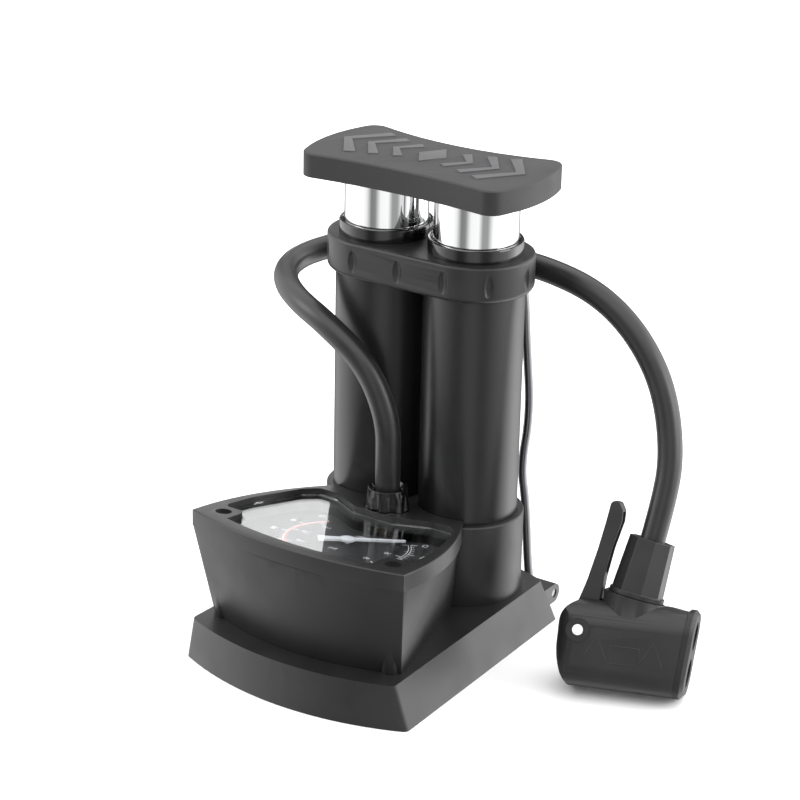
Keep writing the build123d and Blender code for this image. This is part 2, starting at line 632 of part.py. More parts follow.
with BuildPart() as gauge_lid:
    with BuildSketch(Plane.XY.offset(LID_LOW_Z)):
        add(housing_outline((47.4, -84.3), -93.5, (43.6, -51), (30.5, -20), (27, -11)))
    extrude(amount=30)
    split(bisect_by=LID_PLANE, keep=Keep.BOTTOM)
    split(bisect_by=LID_UNDER, keep=Keep.TOP)
    fillet(gauge_lid.faces().filter_by(lambda face: face.normal_at().Z > 0.9).edges(), 0.6)
    with BuildSketch(Plane.XY.offset(LID_LOW_Z)):
        with Locations((-BARREL_X, 0), (BARREL_X, 0)):
            Circle(BARREL_R + 0.3)
    extrude(amount=30, mode=Mode.SUBTRACT)
    with BuildSketch(Plane.XY.offset(LID_LOW_Z)):
        with Locations((-BARREL_X, 0), (BARREL_X, 0)):
            Circle(COLLAR_R + 0.3)
    extrude(amount=COLLAR_TOP + SEAT_GAP - LID_LOW_Z, mode=Mode.SUBTRACT)
    with BuildSketch(LID_PLANE.offset(2)):
        add(window_outline(0))
    extrude(amount=-2 - LENS_DEPTH - LENS_THICKNESS, mode=Mode.SUBTRACT)
    with BuildSketch(LID_PLANE):
        add(window_outline(-1.5))
    extrude(amount=-LID_THICKNESS - 1, mode=Mode.SUBTRACT)
    # flat seat and hole for the hose nut
    with Locations((0, NUT_Y, NUT_BOTTOM)):
        Cylinder(NUT_FOOT_R + 0.4, 12, align=(Align.CENTER, Align.CENTER, Align.MIN), mode=Mode.SUBTRACT)
        Cylinder(BARB_R + 0.3, 30, mode=Mode.SUBTRACT)
    # counterbored screw holes
    with BuildSketch(LID_PLANE.offset(1)):
        with Locations(*LID_SCREWS_IN_PLANE):
            Circle(3.1)
    extrude(amount=-1 - LID_SCREW_SEAT, mode=Mode.SUBTRACT)
    with BuildSketch(LID_PLANE):
        with Locations(*LID_SCREWS_IN_PLANE):
            Circle(SCREW_R + 0.3)
    extrude(amount=-LID_THICKNESS - 1, mode=Mode.SUBTRACT)
gauge_lid.part.label = "gauge_lid"
export_step(gauge_lid.part, "parts/gauge_lid.step")

with BuildPart() as lid_screws:
    with BuildSketch(LID_PLANE.offset(-LID_SCREW_SEAT)):
        with Locations(*LID_SCREWS_IN_PLANE):
            Circle(SCREW_HEAD_R)
    extrude(amount=1.4)
    with BuildSketch(LID_PLANE.offset(-LID_SCREW_SEAT)):
        with Locations(*LID_SCREWS_IN_PLANE):
            Circle(SCREW_R)
    extrude(amount=-LID_SCREW_LENGTH)
    with BuildSketch(LID_PLANE.offset(1.5 - LID_SCREW_SEAT)):
        with Locations(*LID_SCREWS_IN_PLANE):
            Rectangle(3.4, 0.7)
            Rectangle(0.7, 3.4)
    extrude(amount=-0.8, mode=Mode.SUBTRACT)
lid_screws.part.label = "lid_screws"
export_step(lid_screws.part, "parts/lid_screws.step")

with BuildPart() as gauge_lens:
    with BuildSketch(LID_PLANE.offset(-LENS_DEPTH - LENS_THICKNESS)):
        add(window_outline(-0.15))
    extrude(amount=LENS_THICKNESS)
gauge_lens.part.label = "gauge_lens"
export_step(gauge_lens.part, "parts/gauge_lens.step")

with BuildPart() as gauge_dial:
    with BuildSketch(DIAL_PLANE):
        add(window_outline(-2.0))
        with Locations((0, HUB_SHIFT)):
            Circle(1.4, mode=Mode.SUBTRACT)
    extrude(amount=-DIAL_THICKNESS)
gauge_dial.part.label = "gauge_dial"
export_step(gauge_dial.part, "parts/gauge_dial.step")

with BuildPart() as gauge_movement:
    with BuildSketch(HUB_PLANE.offset(-DIAL_THICKNESS)):
        Circle(CUP_R)
    extrude(amount=-CUP_DEPTH)
    with BuildSketch(HUB_PLANE.offset(-DIAL_THICKNESS)):
        Circle(CUP_R - 1.2)
    extrude(amount=1.2 - CUP_DEPTH, mode=Mode.SUBTRACT)
    with BuildSketch(HUB_PLANE.offset(-DIAL_THICKNESS - CUP_DEPTH)):
        Circle(2.4)
    extrude(amount=CUP_DEPTH - 1)
    with BuildSketch(HUB_PLANE.offset(-DIAL_THICKNESS - CUP_DEPTH)):
        Circle(ARBOR_R + RUNNING_GAP)
    extrude(amount=CUP_DEPTH, mode=Mode.SUBTRACT)
    with BuildSketch(Plane.XY.offset(BASE_HEIGHT + HOUSING_WALL + SEAT_GAP)):
        with Locations((-10, HUB_Y + HUB_SHIFT), (10, HUB_Y + HUB_SHIFT)):
            Circle(3)
    extrude(until=Until.NEXT)
gauge_movement.part.label = "gauge_movement"
export_step(gauge_movement.part, "parts/gauge_movement.step")

with BuildPart() as bourdon_coil:
    with BuildSketch(HUB_PLANE.offset(-DIAL_THICKNESS - 2)):
        with BuildLine() as spiral:
            ThreePointArc((4.0, 0), (0, 4.0), (-4.0, 0))
            ThreePointArc((-4.0, 0), (1.0, -5.0), (6.0, 0))
            ThreePointArc((6.0, 0), (-1.0, 7.0), (-8.0, 0))
            ThreePointArc((-8.0, 0), (1.0, -9.0), (10.0, 0))
            ThreePointArc((10.0, 0), (-1.0, 11.0), (-12.0, 0))
        trace(line_width=0.8)
    extrude(amount=-5)
bourdon_coil.part.label = "bourdon_coil"
export_step(bourdon_coil.part, "parts/bourdon_coil.step")

needle_turn = math.radians(NEEDLE_REST_ANGLE)
NEEDLE_PLANE = Plane(
    origin=HUB_PLANE.origin,
    x_dir=HUB_PLANE.x_dir * math.cos(needle_turn) + HUB_PLANE.y_dir * math.sin(needle_turn),
    z_dir=LID_NORMAL,
)
with BuildPart() as gauge_needle:
    with BuildSketch(NEEDLE_PLANE.offset(NEEDLE_LIFT)):
        with BuildLine():
            Polyline((22, 0.5), (22, -0.5), (0, -1.1), (-11, -2.1), (-11, 2.1), (0, 1.1), close=True)
        make_face()
        Circle(2.9)
    extrude(amount=0.8)
    with BuildSketch(NEEDLE_PLANE.offset(NEEDLE_LIFT)):
        Circle(ARBOR_R)
    extrude(amount=-ARBOR_LENGTH)
gauge_needle.part.label = "gauge_needle"
export_step(gauge_needle.part, "parts/gauge_needle.step")

# ---------------------------------------------------------------- hose and its fittings
with BuildPart() as hose_barb:
    with BuildSketch(Plane.XZ.offset(-NUT_Y)):
        with BuildLine():
            Polyline(
                (BARB_BORE_R, PORT_TOP),
                (5.2, PORT_TOP),
                (5.2, PORT_TOP + 2),
                (BARB_R - 0.8, PORT_TOP + 2),
                (BARB_R - 0.8, HOSE_START_Z - 3),
                (BARB_R, HOSE_START_Z - 3),
                (BARB_R - 0.8, HOSE_START_Z),
                (BARB_BORE_R, HOSE_START_Z),
                close=True,
            )
        make_face()
    revolve(axis=Axis((0, NUT_Y, 0), (0, 0, 1)))
hose_barb.part.label = "hose_barb"
export_step(hose_barb.part, "parts/hose_barb.step")

with BuildPart() as hose_nut:
    with BuildSketch(Plane.XZ.offset(-NUT_Y)):
        with BuildLine():
            Polyline(
                (HOSE_R + 0.15, NUT_BOTTOM),
                (NUT_FOOT_R, NUT_BOTTOM),
                (NUT_FOOT_R, NUT_BOTTOM + 1.5),
                (NUT_TIP_R, NUT_TOP),
                (NUT_TIP_R - 0.8, NUT_TOP),
                (HOSE_R + 0.15, NUT_TOP - 1.6),
                close=True,
            )
        make_face()
    revolve(axis=Axis((0, NUT_Y, 0), (0, 0, 1)))
    with Locations((0, NUT_Y, NUT_BOTTOM + 8)):
        with PolarLocations(NUT_FOOT_R + 1.3, 8):
            Cylinder(2.3, 13, mode=Mode.SUBTRACT)
hose_nut.part.label = "hose_nut"
export_step(hose_nut.part, "parts/hose_nut.step")

HOSE_ROUTE = [
    (0, NUT_Y, HOSE_START_Z),
    (0, NUT_Y, 72),
    (0, -26, 90),
    (-9, -27.3, 110),
    (-27, -28, 122.5),
    (-46, -22.5, 127.5),
    (-61.5, -9.5, 129.5),
    (-68, 7, 131),
    (-62, 22.5, 133.5),
    (-48, 31, 137),
    (-31, 31.5, 140.5),
    (-14, CLIP_Y, CLIP_Z),
    (14, CLIP_Y, CLIP_Z),
    (35.2, 28, 142.1),
    (57.3, 27.8, 137.1),
    (74.8, 27.2, 125.2),
    (88.2, 25.5, 107.2),
    (96, 20, 84),
    (97.3, 12.5, 66.7),
    tuple(HOSE_END),
]


def corner_radius(before, corner, after):
    """Largest tidy bend at a corner: 0.45 of the shorter run over the tangent of half the turn."""
    run_in = Vector(*corner) - Vector(*before)
    run_out = Vector(*after) - Vector(*corner)
    half_turn = math.radians(run_in.get_angle(run_out)) / 2
    return 0.45 * min(run_in.length, run_out.length) / math.tan(half_turn)


hose_bends = [corner_radius(*HOSE_ROUTE[i - 1 : i + 2]) for i in range(1, len(HOSE_ROUTE) - 1)]
print("hose bend radii:", [round(radius, 1) for radius in hose_bends])
with BuildPart() as hose:
    with BuildLine():
        hose_line = FilletPolyline(*HOSE_ROUTE, radius=hose_bends)
    with BuildSketch(Plane(origin=hose_line @ 0, z_dir=hose_line % 0)):
        Circle(HOSE_R)
    sweep(path=hose_line)
hose.part.label = "hose"
export_step(hose.part, "parts/hose.step")
section_times_length = math.pi * HOSE_R**2 * hose_line.length
print(f"hose length {hose_line.length:.1f}, volume {hose.part.volume:.0f}")
print(f"section times length {section_times_length:.0f}")

# ---------------------------------------------------------------- valve head
face_tilt = math.radians(FACE_TILT)
FACE_NORMAL = Vector(*HEAD_ALONG) * math.cos(face_tilt) - Vector(*HEAD_UP) * math.sin(face_tilt)
FACE_CENTRE = Vector(*HEAD_ORIGIN) + Vector(*HEAD_ALONG) * FACE_S + Vector(*HEAD_UP) * (HEAD_HEIGHT / 2)
FACE_PLANE = Plane(origin=FACE_CENTRE, x_dir=HEAD_ACROSS, z_dir=FACE_NORMAL)
CAP_PLANE = FACE_PLANE.offset(-CAP_THICKNESS)


def head_blank():
    """Valve head before it is hollowed: its side outline cut from a bar with rounded edges."""
    with BuildPart() as blank:
        with BuildSketch(HEAD_SIDE_PLANE):
            with BuildLine():
                Polyline((-21.8, 0), (30, 0), (30, HEAD_HEIGHT), (-17, HEAD_HEIGHT))
                ThreePointArc((-17, HEAD_HEIGHT), (-24.6, 29.6), (-27.5, 23.5))
                ThreePointArc((-27.5, 23.5), (-27.1, 12), (-21.8, 0))
            make_face()
        extrude(amount=HEAD_HALF_WIDTH, both=True)
        with BuildSketch(Plane(origin=HEAD_ORIGIN, x_dir=HEAD_ACROSS, z_dir=HEAD_ALONG)):
            with Locations((0, HEAD_HEIGHT / 2)):
                RectangleRounded(2 * HEAD_HALF_WIDTH, HEAD_HEIGHT, HEAD_CORNER_R)
        extrude(amount=60, both=True, mode=Mode.INTERSECT)
        with BuildSketch(HEAD_FLOOR_PLANE):
            with Locations((2.3, 0)):
                RectangleRounded(60, 2 * HEAD_HALF_WIDTH, 7)
        extrude(amount=HEAD_HEIGHT + 5, mode=Mode.INTERSECT)
        split(bisect_by=FACE_PLANE, keep=Keep.BOTTOM)
    return blank.part


with BuildPart() as head_body:
    add(head_blank())
    # round neck under the hose collar, cut square to the collar
    with BuildSketch(HEAD_FLOOR_PLANE.offset(NECK_BOTTOM)):
        with Locations((NECK_S, 0)):
            Circle(NECK_R)
    extrude(amount=HEAD_HEIGHT - NECK_BOTTOM + 8)
    split(bisect_by=STUB_PLANE.offset(STUB_RING_Z - SEAT_GAP), keep=Keep.BOTTOM)
    split(bisect_by=CAP_PLANE, keep=Keep.BOTTOM)
    # raised boss round the pin on both cheeks
    with BuildSketch(HEAD_SIDE_PLANE):
        with Locations((PIN_S, PIN_Z)):
            Circle(BOSS_R)
    extrude(amount=HEAD_HALF_WIDTH + BOSS_HEIGHT, both=True)
    # slot for the lever, open above and behind, and the plunger chamber beside it
    with BuildSketch(HEAD_SIDE_PLANE):
        with BuildLine():
            Polyline(
                (-40, 9),
                (-24, 9),
                (-20, 6),
                (7, 6),
                (7, 27.5),
                (-12.2, 27.5),
                (-12.2, 50),
                (-40, 50),
                close=True,
            )
        make_face()
    extrude(amount=SLOT_HALF_WIDTH, both=True, mode=Mode.SUBTRACT)
    with BuildSketch(HEAD_SIDE_PLANE):
        with Locations((PIN_S, PIN_Z)):
            Circle(PIN_R + SEAT_GAP)
    extrude(amount=HEAD_HALF_WIDTH + 5, both=True, mode=Mode.SUBTRACT)
    # pockets for the valve seals, each joined to the chamber by a hole
    with BuildSketch(CAP_PLANE):
        with Locations((0, UPPER_HOLE_Y), (0, LOWER_HOLE_Y)):
            Circle(SEAL_R + SEAT_GAP)
    extrude(amount=-SEAL_LENGTH - SEAT_GAP, mode=Mode.SUBTRACT)
    with BuildSketch(CAP_PLANE):
        with Locations((0, UPPER_HOLE_Y), (0, LOWER_HOLE_Y)):
            Circle(3.2)
    extrude(amount=-SEAL_LENGTH - 6, mode=Mode.SUBTRACT)
    # seat for the hose collar, with an air hole down to the chamber
    with BuildSketch(STUB_PLANE):
        Circle(STUB_FOOT_R + SEAT_GAP)
    extrude(amount=STUB_LENGTH, mode=Mode.SUBTRACT)
    with BuildSketch(STUB_PLANE):
        Circle(BARB_BORE_R)
    extrude(amount=-8, mode=Mode.SUBTRACT)
head_body.part.label = "head_body"
export_step(head_body.part, "parts/head_body.step")

with BuildPart() as head_end_cap:
    add(head_blank())
    split(bisect_by=CAP_PLANE.offset(0.02), keep=Keep.TOP)
    outer_rim = head_end_cap.faces().sort_by(Axis(FACE_CENTRE, FACE_NORMAL))[-1].edges()
    chamfer(outer_rim, 1.5)
    with BuildSketch(FACE_PLANE):
        with Locations((0, UPPER_HOLE_Y), (0, LOWER_HOLE_Y)):
            Circle(MOUTH_R)
    extrude(amount=-CAP_THICKNESS, mode=Mode.SUBTRACT)
head_end_cap.part.label = "head_end_cap"
export_step(head_end_cap.part, "parts/head_end_cap.step")

for seal_name, hole_y, bore_r in (("schrader", UPPER_HOLE_Y, SCHRADER_R), ("presta", LOWER_HOLE_Y, PRESTA_R)):
    with BuildPart() as valve_seal:
        with BuildSketch(CAP_PLANE):
            with Locations((0, hole_y)):
                Circle(SEAL_R)
                Circle(bore_r, mode=Mode.SUBTRACT)
        extrude(amount=-SEAL_LENGTH)
    valve_seal.part.label = f"{seal_name}_seal"
    export_step(valve_seal.part, f"parts/{seal_name}_seal.step")

with BuildPart() as hose_collar:
    with BuildSketch(STUB_PLANE.offset(SEAT_GAP)):
        Circle(STUB_FOOT_R)
    extrude(amount=STUB_RING_Z)
    with BuildSketch(STUB_PLANE.offset(STUB_RING_Z)):
        Circle(STUB_RING_R)
    extrude(amount=1.8)
    with BuildSketch(STUB_PLANE.offset(STUB_RING_Z + 1.8)):
        RegularPolygon(9.9, 8, rotation=STUB_TURN)
    with BuildSketch(STUB_PLANE.offset(STUB_LENGTH)):
        RegularPolygon(8.7, 8, rotation=STUB_TURN)
    loft(ruled=True)
    with BuildSketch(STUB_PLANE.offset(STUB_LENGTH - STUB_SOCKET_DEPTH - SEAT_GAP)):
        Circle(HOSE_R + SEAT_GAP)
    extrude(amount=STUB_SOCKET_DEPTH + 1, mode=Mode.SUBTRACT)
    with BuildSketch(STUB_PLANE):
        Circle(BARB_BORE_R)
    extrude(amount=STUB_LENGTH, mode=Mode.SUBTRACT)
hose_collar.part.label = "hose_collar"
export_step(hose_collar.part, "parts/hose_collar.step")

with BuildPart() as lever_pin:
    with BuildSketch(HEAD_SIDE_PLANE):
        with Locations((PIN_S, PIN_Z)):
            Circle(PIN_R)
    extrude(amount=HEAD_HALF_WIDTH + 0.9, both=True)
lever_pin.part.label = "lever_pin"
export_step(lever_pin.part, "parts/lever_pin.step")

with BuildPart() as head_lever:
    with BuildSketch(HEAD_SIDE_PLANE):
        with BuildLine():
            Polyline((-25.2, 24), (-21.2, 32.6), (-19.1, 39.5), (-16.3, 51.8), (-14.5, 61.7), (-13.4, 68.8))
            Polyline((-13.4, 68.8), (-12.4, 69.8), (-10.2, 69.4), (-8.6, 66.5), (-8.6, 62.5), (-11.2, 52))
            Polyline((-11.2, 52), (-13.0, 41), (-13.6, 33), (-13.4, 24), (-25.2, 24))
        make_face()
        with Locations((PIN_S, PIN_Z - CAM_OFFSET)):
            Circle(CAM_R)
    extrude(amount=LEVER_HALF_WIDTH, both=True)
    # finger channel on the side that faces the hose collar
    with BuildSketch(HEAD_SIDE_PLANE):
        with BuildLine():
            Polyline((-11.0, 40), (-14.2, 44), (-12.6, 52), (-10.9, 62.5), (-11.0, 66), (0, 66), (0, 40), close=True)
        make_face()
    extrude(amount=LEVER_HALF_WIDTH - 1.4, both=True, mode=Mode.SUBTRACT)
    with BuildSketch(HEAD_SIDE_PLANE):
        with Locations((PIN_S, PIN_Z)):
            Circle(PIN_R + RUNNING_GAP)
    extrude(amount=HEAD_HALF_WIDTH, both=True, mode=Mode.SUBTRACT)
head_lever.part.label = "head_lever"
export_step(head_lever.part, "parts/head_lever.step")

with BuildPart() as head_plunger:
    with BuildSketch(HEAD_SIDE_PLANE):
        with Locations((PLUNGER_S, PIN_Z - 4)):
            Rectangle(9, 14)
        with Locations((PLUNGER_S + 6.5, PIN_Z - 4)):
            Rectangle(5, 8)
    extrude(amount=LEVER_HALF_WIDTH - 0.2, both=True)
head_plunger.part.label = "head_plunger"
export_step(head_plunger.part, "parts/head_plunger.step")
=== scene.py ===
"""Twin-barrel foot pump: surfaces, finishes, floor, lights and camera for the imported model."""

import json
import logging
import math
from collections.abc import Sequence
from dataclasses import dataclass, field
from enum import Enum

import bmesh
import bpy
from mathutils import Matrix, Vector


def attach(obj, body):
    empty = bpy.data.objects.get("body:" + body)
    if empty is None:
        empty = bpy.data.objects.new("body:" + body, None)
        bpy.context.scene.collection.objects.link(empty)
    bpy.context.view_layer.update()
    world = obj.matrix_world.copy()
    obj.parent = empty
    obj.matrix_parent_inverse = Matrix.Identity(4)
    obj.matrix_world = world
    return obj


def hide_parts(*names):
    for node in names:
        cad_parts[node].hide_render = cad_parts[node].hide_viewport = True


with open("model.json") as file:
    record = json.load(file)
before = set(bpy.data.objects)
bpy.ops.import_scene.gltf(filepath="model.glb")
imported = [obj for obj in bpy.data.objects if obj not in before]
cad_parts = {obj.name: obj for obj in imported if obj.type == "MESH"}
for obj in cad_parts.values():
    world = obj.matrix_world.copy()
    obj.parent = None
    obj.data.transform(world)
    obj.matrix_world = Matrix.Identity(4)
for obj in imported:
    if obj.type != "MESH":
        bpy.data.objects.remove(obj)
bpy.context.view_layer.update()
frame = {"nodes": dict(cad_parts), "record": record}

LOG = logging.getLogger("foot_pump")
MM = 0.001
Piece = bpy.types.Object
Point2 = tuple[float, float]
Point3 = tuple[float, float, float]

SLOT_OF_NODE = {part["node"]: part["material_slot"] for part in frame["record"]["subparts"]}
BODY_OF_NODE = {
    node: body for body, nodes in frame["record"]["behaviour"]["bodies"].items() for node in nodes
}


class Side(Enum):
    """The two barrels, by the sign of their X."""

    LEFT = -1
    RIGHT = 1


# ------------------------------------------------------------------ shader groups


def new_group(name: str, inputs: dict[str, float | None], outputs: dict[str, str]) -> bpy.types.NodeTree:
    """Start an empty shader node group.

    Args:
        name: name of the group.
        inputs: input sockets; None makes a vector socket, a number a float socket.
        outputs: output sockets and their socket types.

    Returns:
        The node tree, with its input and output nodes in place.
    """
    tree = bpy.data.node_groups.new(name, "ShaderNodeTree")
    for label, default in inputs.items():
        kind = "NodeSocketVector" if default is None else "NodeSocketFloat"
        socket = tree.interface.new_socket(name=label, in_out="INPUT", socket_type=kind)
        if default is not None:
            socket.default_value = default
    for label, kind in outputs.items():
        tree.interface.new_socket(name=label, in_out="OUTPUT", socket_type=kind)
    tree.nodes.new("NodeGroupInput").name = "in"
    tree.nodes.new("NodeGroupOutput").name = "out"
    return tree


def grain_group() -> bpy.types.NodeTree:
    """Moulded grain: a fine pebbled height and a broad mottled mask."""
    tree = new_group(
        "moulded_grain",
        {"Vector": None, "Scale": 1200.0, "Cloud Scale": 60.0},
        {"Height": "NodeSocketFloat", "Cloud": "NodeSocketFloat"},
    )
    link = tree.links.new
    source, sink = tree.nodes["in"], tree.nodes["out"]
    fine = tree.nodes.new("ShaderNodeTexNoise")
    fine.inputs["Detail"].default_value = 3.0
    pebble = tree.nodes.new("ShaderNodeTexVoronoi")
    pebble.feature = "SMOOTH_F1"
    cloud = tree.nodes.new("ShaderNodeTexNoise")
    cloud.inputs["Detail"].default_value = 4.0
    blend = tree.nodes.new("ShaderNodeMath")
    blend.operation = "MULTIPLY_ADD"
    blend.inputs[1].default_value = 0.6
    for texture, scale in ((fine, "Scale"), (pebble, "Scale"), (cloud, "Cloud Scale")):
        link(source.outputs["Vector"], texture.inputs["Vector"])
        link(source.outputs[scale], texture.inputs["Scale"])
    link(pebble.outputs["Distance"], blend.inputs[0])
    link(fine.outputs["Fac"], blend.inputs[2])
    link(blend.outputs[0], sink.inputs["Height"])
    link(cloud.outputs["Fac"], sink.inputs["Cloud"])
    return tree


def drawn_group() -> bpy.types.NodeTree:
    """Drawn or plated metal: streaks that run along Z, with faint broad haze."""
    tree = new_group(
        "drawn_streaks",
        {"Vector": None, "Across": 900.0, "Along": 20.0, "Haze Scale": 35.0},
        {"Height": "NodeSocketFloat", "Haze": "NodeSocketFloat"},
    )
    link = tree.links.new
    source, sink = tree.nodes["in"], tree.nodes["out"]
    stretch = tree.nodes.new("ShaderNodeVectorMath")
    stretch.operation = "MULTIPLY"
    sizes = tree.nodes.new("ShaderNodeCombineXYZ")
    streak = tree.nodes.new("ShaderNodeTexNoise")
    streak.inputs["Scale"].default_value = 1.0
    haze = tree.nodes.new("ShaderNodeTexNoise")
    link(source.outputs["Across"], sizes.inputs["X"])
    link(source.outputs["Across"], sizes.inputs["Y"])
    link(source.outputs["Along"], sizes.inputs["Z"])
    link(source.outputs["Vector"], stretch.inputs[0])
    link(sizes.outputs[0], stretch.inputs[1])
    link(stretch.outputs[0], streak.inputs["Vector"])
    link(source.outputs["Vector"], haze.inputs["Vector"])
    link(source.outputs["Haze Scale"], haze.inputs["Scale"])
    link(streak.outputs["Fac"], sink.inputs["Height"])
    link(haze.outputs["Fac"], sink.inputs["Haze"])
    return tree


GRAIN = grain_group()
DRAWN = drawn_group()


def place_group(
    material: bpy.types.Material, group: bpy.types.NodeTree, values: dict[str, float]
) -> bpy.types.ShaderNodeGroup:
    """Put a group into a material, fed with Object coordinates.

    Args:
        material: the material to add to.
        group: the shader group.
        values: numbers for its inputs.

    Returns:
        The group node.
    """
    nodes = material.node_tree.nodes
    coordinates = nodes.new("ShaderNodeTexCoord")
    effect = nodes.new("ShaderNodeGroup")
    effect.node_tree = group
    material.node_tree.links.new(coordinates.outputs["Object"], effect.inputs["Vector"])
    for label, value in values.items():
        effect.inputs[label].default_value = value
    return effect


def vary(
    material: bpy.types.Material, mask: bpy.types.NodeSocket, socket: str, low: float, high: float
) -> None:
    """Drive a shader value by a mask between two numbers."""
    spread = material.node_tree.nodes.new("ShaderNodeMapRange")
    spread.inputs["From Min"].default_value = 0.3
    spread.inputs["From Max"].default_value = 0.7
    spread.inputs["To Min"].default_value = low
    spread.inputs["To Max"].default_value = high
    shader = material.node_tree.nodes["Principled BSDF"]
    material.node_tree.links.new(mask, spread.inputs["Value"])
    material.node_tree.links.new(spread.outputs["Result"], shader.inputs[socket])


def tint(
    material: bpy.types.Material, mask: bpy.types.NodeSocket, dark: Sequence[float], light: Sequence[float]
) -> None:
    """Blend the base colour between two tones by a mask."""
    ramp = material.node_tree.nodes.new("ShaderNodeValToRGB")
    ramp.color_ramp.elements[0].position = 0.32
    ramp.color_ramp.elements[1].position = 0.68
    ramp.color_ramp.elements[0].color = (*dark, 1.0)
    ramp.color_ramp.elements[1].color = (*light, 1.0)
    shader = material.node_tree.nodes["Principled BSDF"]
    material.node_tree.links.new(mask, ramp.inputs["Fac"])
    material.node_tree.links.new(ramp.outputs["Color"], shader.inputs["Base Color"])


def emboss(material: bpy.types.Material, height: bpy.types.NodeSocket, depth: float) -> None:
    """Raise the surface by a height, to a depth in metres."""
    bump = material.node_tree.nodes.new("ShaderNodeBump")
    bump.inputs["Strength"].default_value = 1.0
    bump.inputs["Distance"].default_value = depth
    shader = material.node_tree.nodes["Principled BSDF"]
    material.node_tree.links.new(height, bump.inputs["Height"])
    material.node_tree.links.new(bump.outputs["Normal"], shader.inputs["Normal"])


def blank_material(name: str) -> bpy.types.Material:
    """Make a node material with its Principled shader."""
    material = bpy.data.materials.new(name)
    material.use_nodes = True
    return material


@dataclass(frozen=True)
class Moulded:
    """Moulded plastic or rubber, with grain and a faint mottle.

    Attributes:
        grey: base tone, or a full colour.
        roughness: mean roughness.
        grain: grain cells per metre.
        depth: grain depth in metres.
        contrast: how far the tone and roughness stray, as a fraction.
        coat: weight of a clear gloss coat.
        specular: specular level.
    """

    name: str
    grey: float | tuple[float, float, float]
    roughness: float
    grain: float = 1500.0
    depth: float = 0.00003
    contrast: float = 0.12
    coat: float = 0.0
    specular: float = 0.5

    def make(self) -> bpy.types.Material:
        """Build the material."""
        material = blank_material(self.name)
        shader = material.node_tree.nodes["Principled BSDF"]
        shader.inputs["Coat Weight"].default_value = self.coat
        shader.inputs["Coat Roughness"].default_value = 0.12
        shader.inputs["Specular IOR Level"].default_value = self.specular
        effect = place_group(material, GRAIN, {"Scale": self.grain, "Cloud Scale": 70.0})
        colour = self.grey if isinstance(self.grey, tuple) else (self.grey, self.grey, self.grey * 1.03)
        cloud = effect.outputs["Cloud"]
        tint(
            material,
            cloud,
            [part * (1 - self.contrast) for part in colour],
            [part * (1 + self.contrast) for part in colour],
        )
        vary(
            material,
            cloud,
            "Roughness",
            self.roughness * (1 - self.contrast),
            min(1.0, self.roughness * (1 + self.contrast)),
        )
        emboss(material, effect.outputs["Height"], self.depth)
        return material


@dataclass(frozen=True)
class Plated:
    """Bare or plated metal, with streaks along its length.

    Attributes:
        colour: metal tint.
        roughness: mean roughness.
        spread: how far the roughness strays.
        streaks: streaks per metre.
        depth: streak depth in metres.
    """

    name: str
    colour: tuple[float, float, float]
    roughness: float
    spread: float = 0.25
    streaks: float = 900.0
    depth: float = 0.000002

    def make(self) -> bpy.types.Material:
        """Build the material."""
        material = blank_material(self.name)
        shader = material.node_tree.nodes["Principled BSDF"]
        shader.inputs["Metallic"].default_value = 1.0
        effect = place_group(material, DRAWN, {"Across": self.streaks})
        haze = effect.outputs["Haze"]
        tint(material, haze, [part * 0.94 for part in self.colour], self.colour)
        least, most = self.roughness * (1 - self.spread), self.roughness * (1 + self.spread)
        vary(material, haze, "Roughness", least, most)
        emboss(material, effect.outputs["Height"], self.depth)
        return material


@dataclass(frozen=True)
class Clear:
    """Clear polycarbonate that lets light through to what lies under it."""

    name: str
    roughness: float = 0.02

    def make(self) -> bpy.types.Material:
        """Build the material."""
        material = blank_material(self.name)
        nodes, links = material.node_tree.nodes, material.node_tree.links
        shader = nodes["Principled BSDF"]
        shader.inputs["Transmission Weight"].default_value = 1.0
        shader.inputs["IOR"].default_value = 1.5
        effect = place_group(material, GRAIN, {"Scale": 90.0, "Cloud Scale": 40.0})
        tint(material, effect.outputs["Cloud"], (0.94, 0.96, 0.97), (0.97, 0.98, 0.99))
        vary(material, effect.outputs["Cloud"], "Roughness", self.roughness * 0.5, self.roughness * 1.5)
        path = nodes.new("ShaderNodeLightPath")
        through = nodes.new("ShaderNodeBsdfTransparent")
        through.inputs["Color"].default_value = (0.93, 0.95, 0.96, 1.0)
        blend = nodes.new("ShaderNodeMixShader")
        links.new(path.outputs["Is Shadow Ray"], blend.inputs[0])
        links.new(shader.outputs[0], blend.inputs[1])
        links.new(through.outputs[0], blend.inputs[2])
        links.new(blend.outputs[0], nodes["Material Output"].inputs["Surface"])
        return material


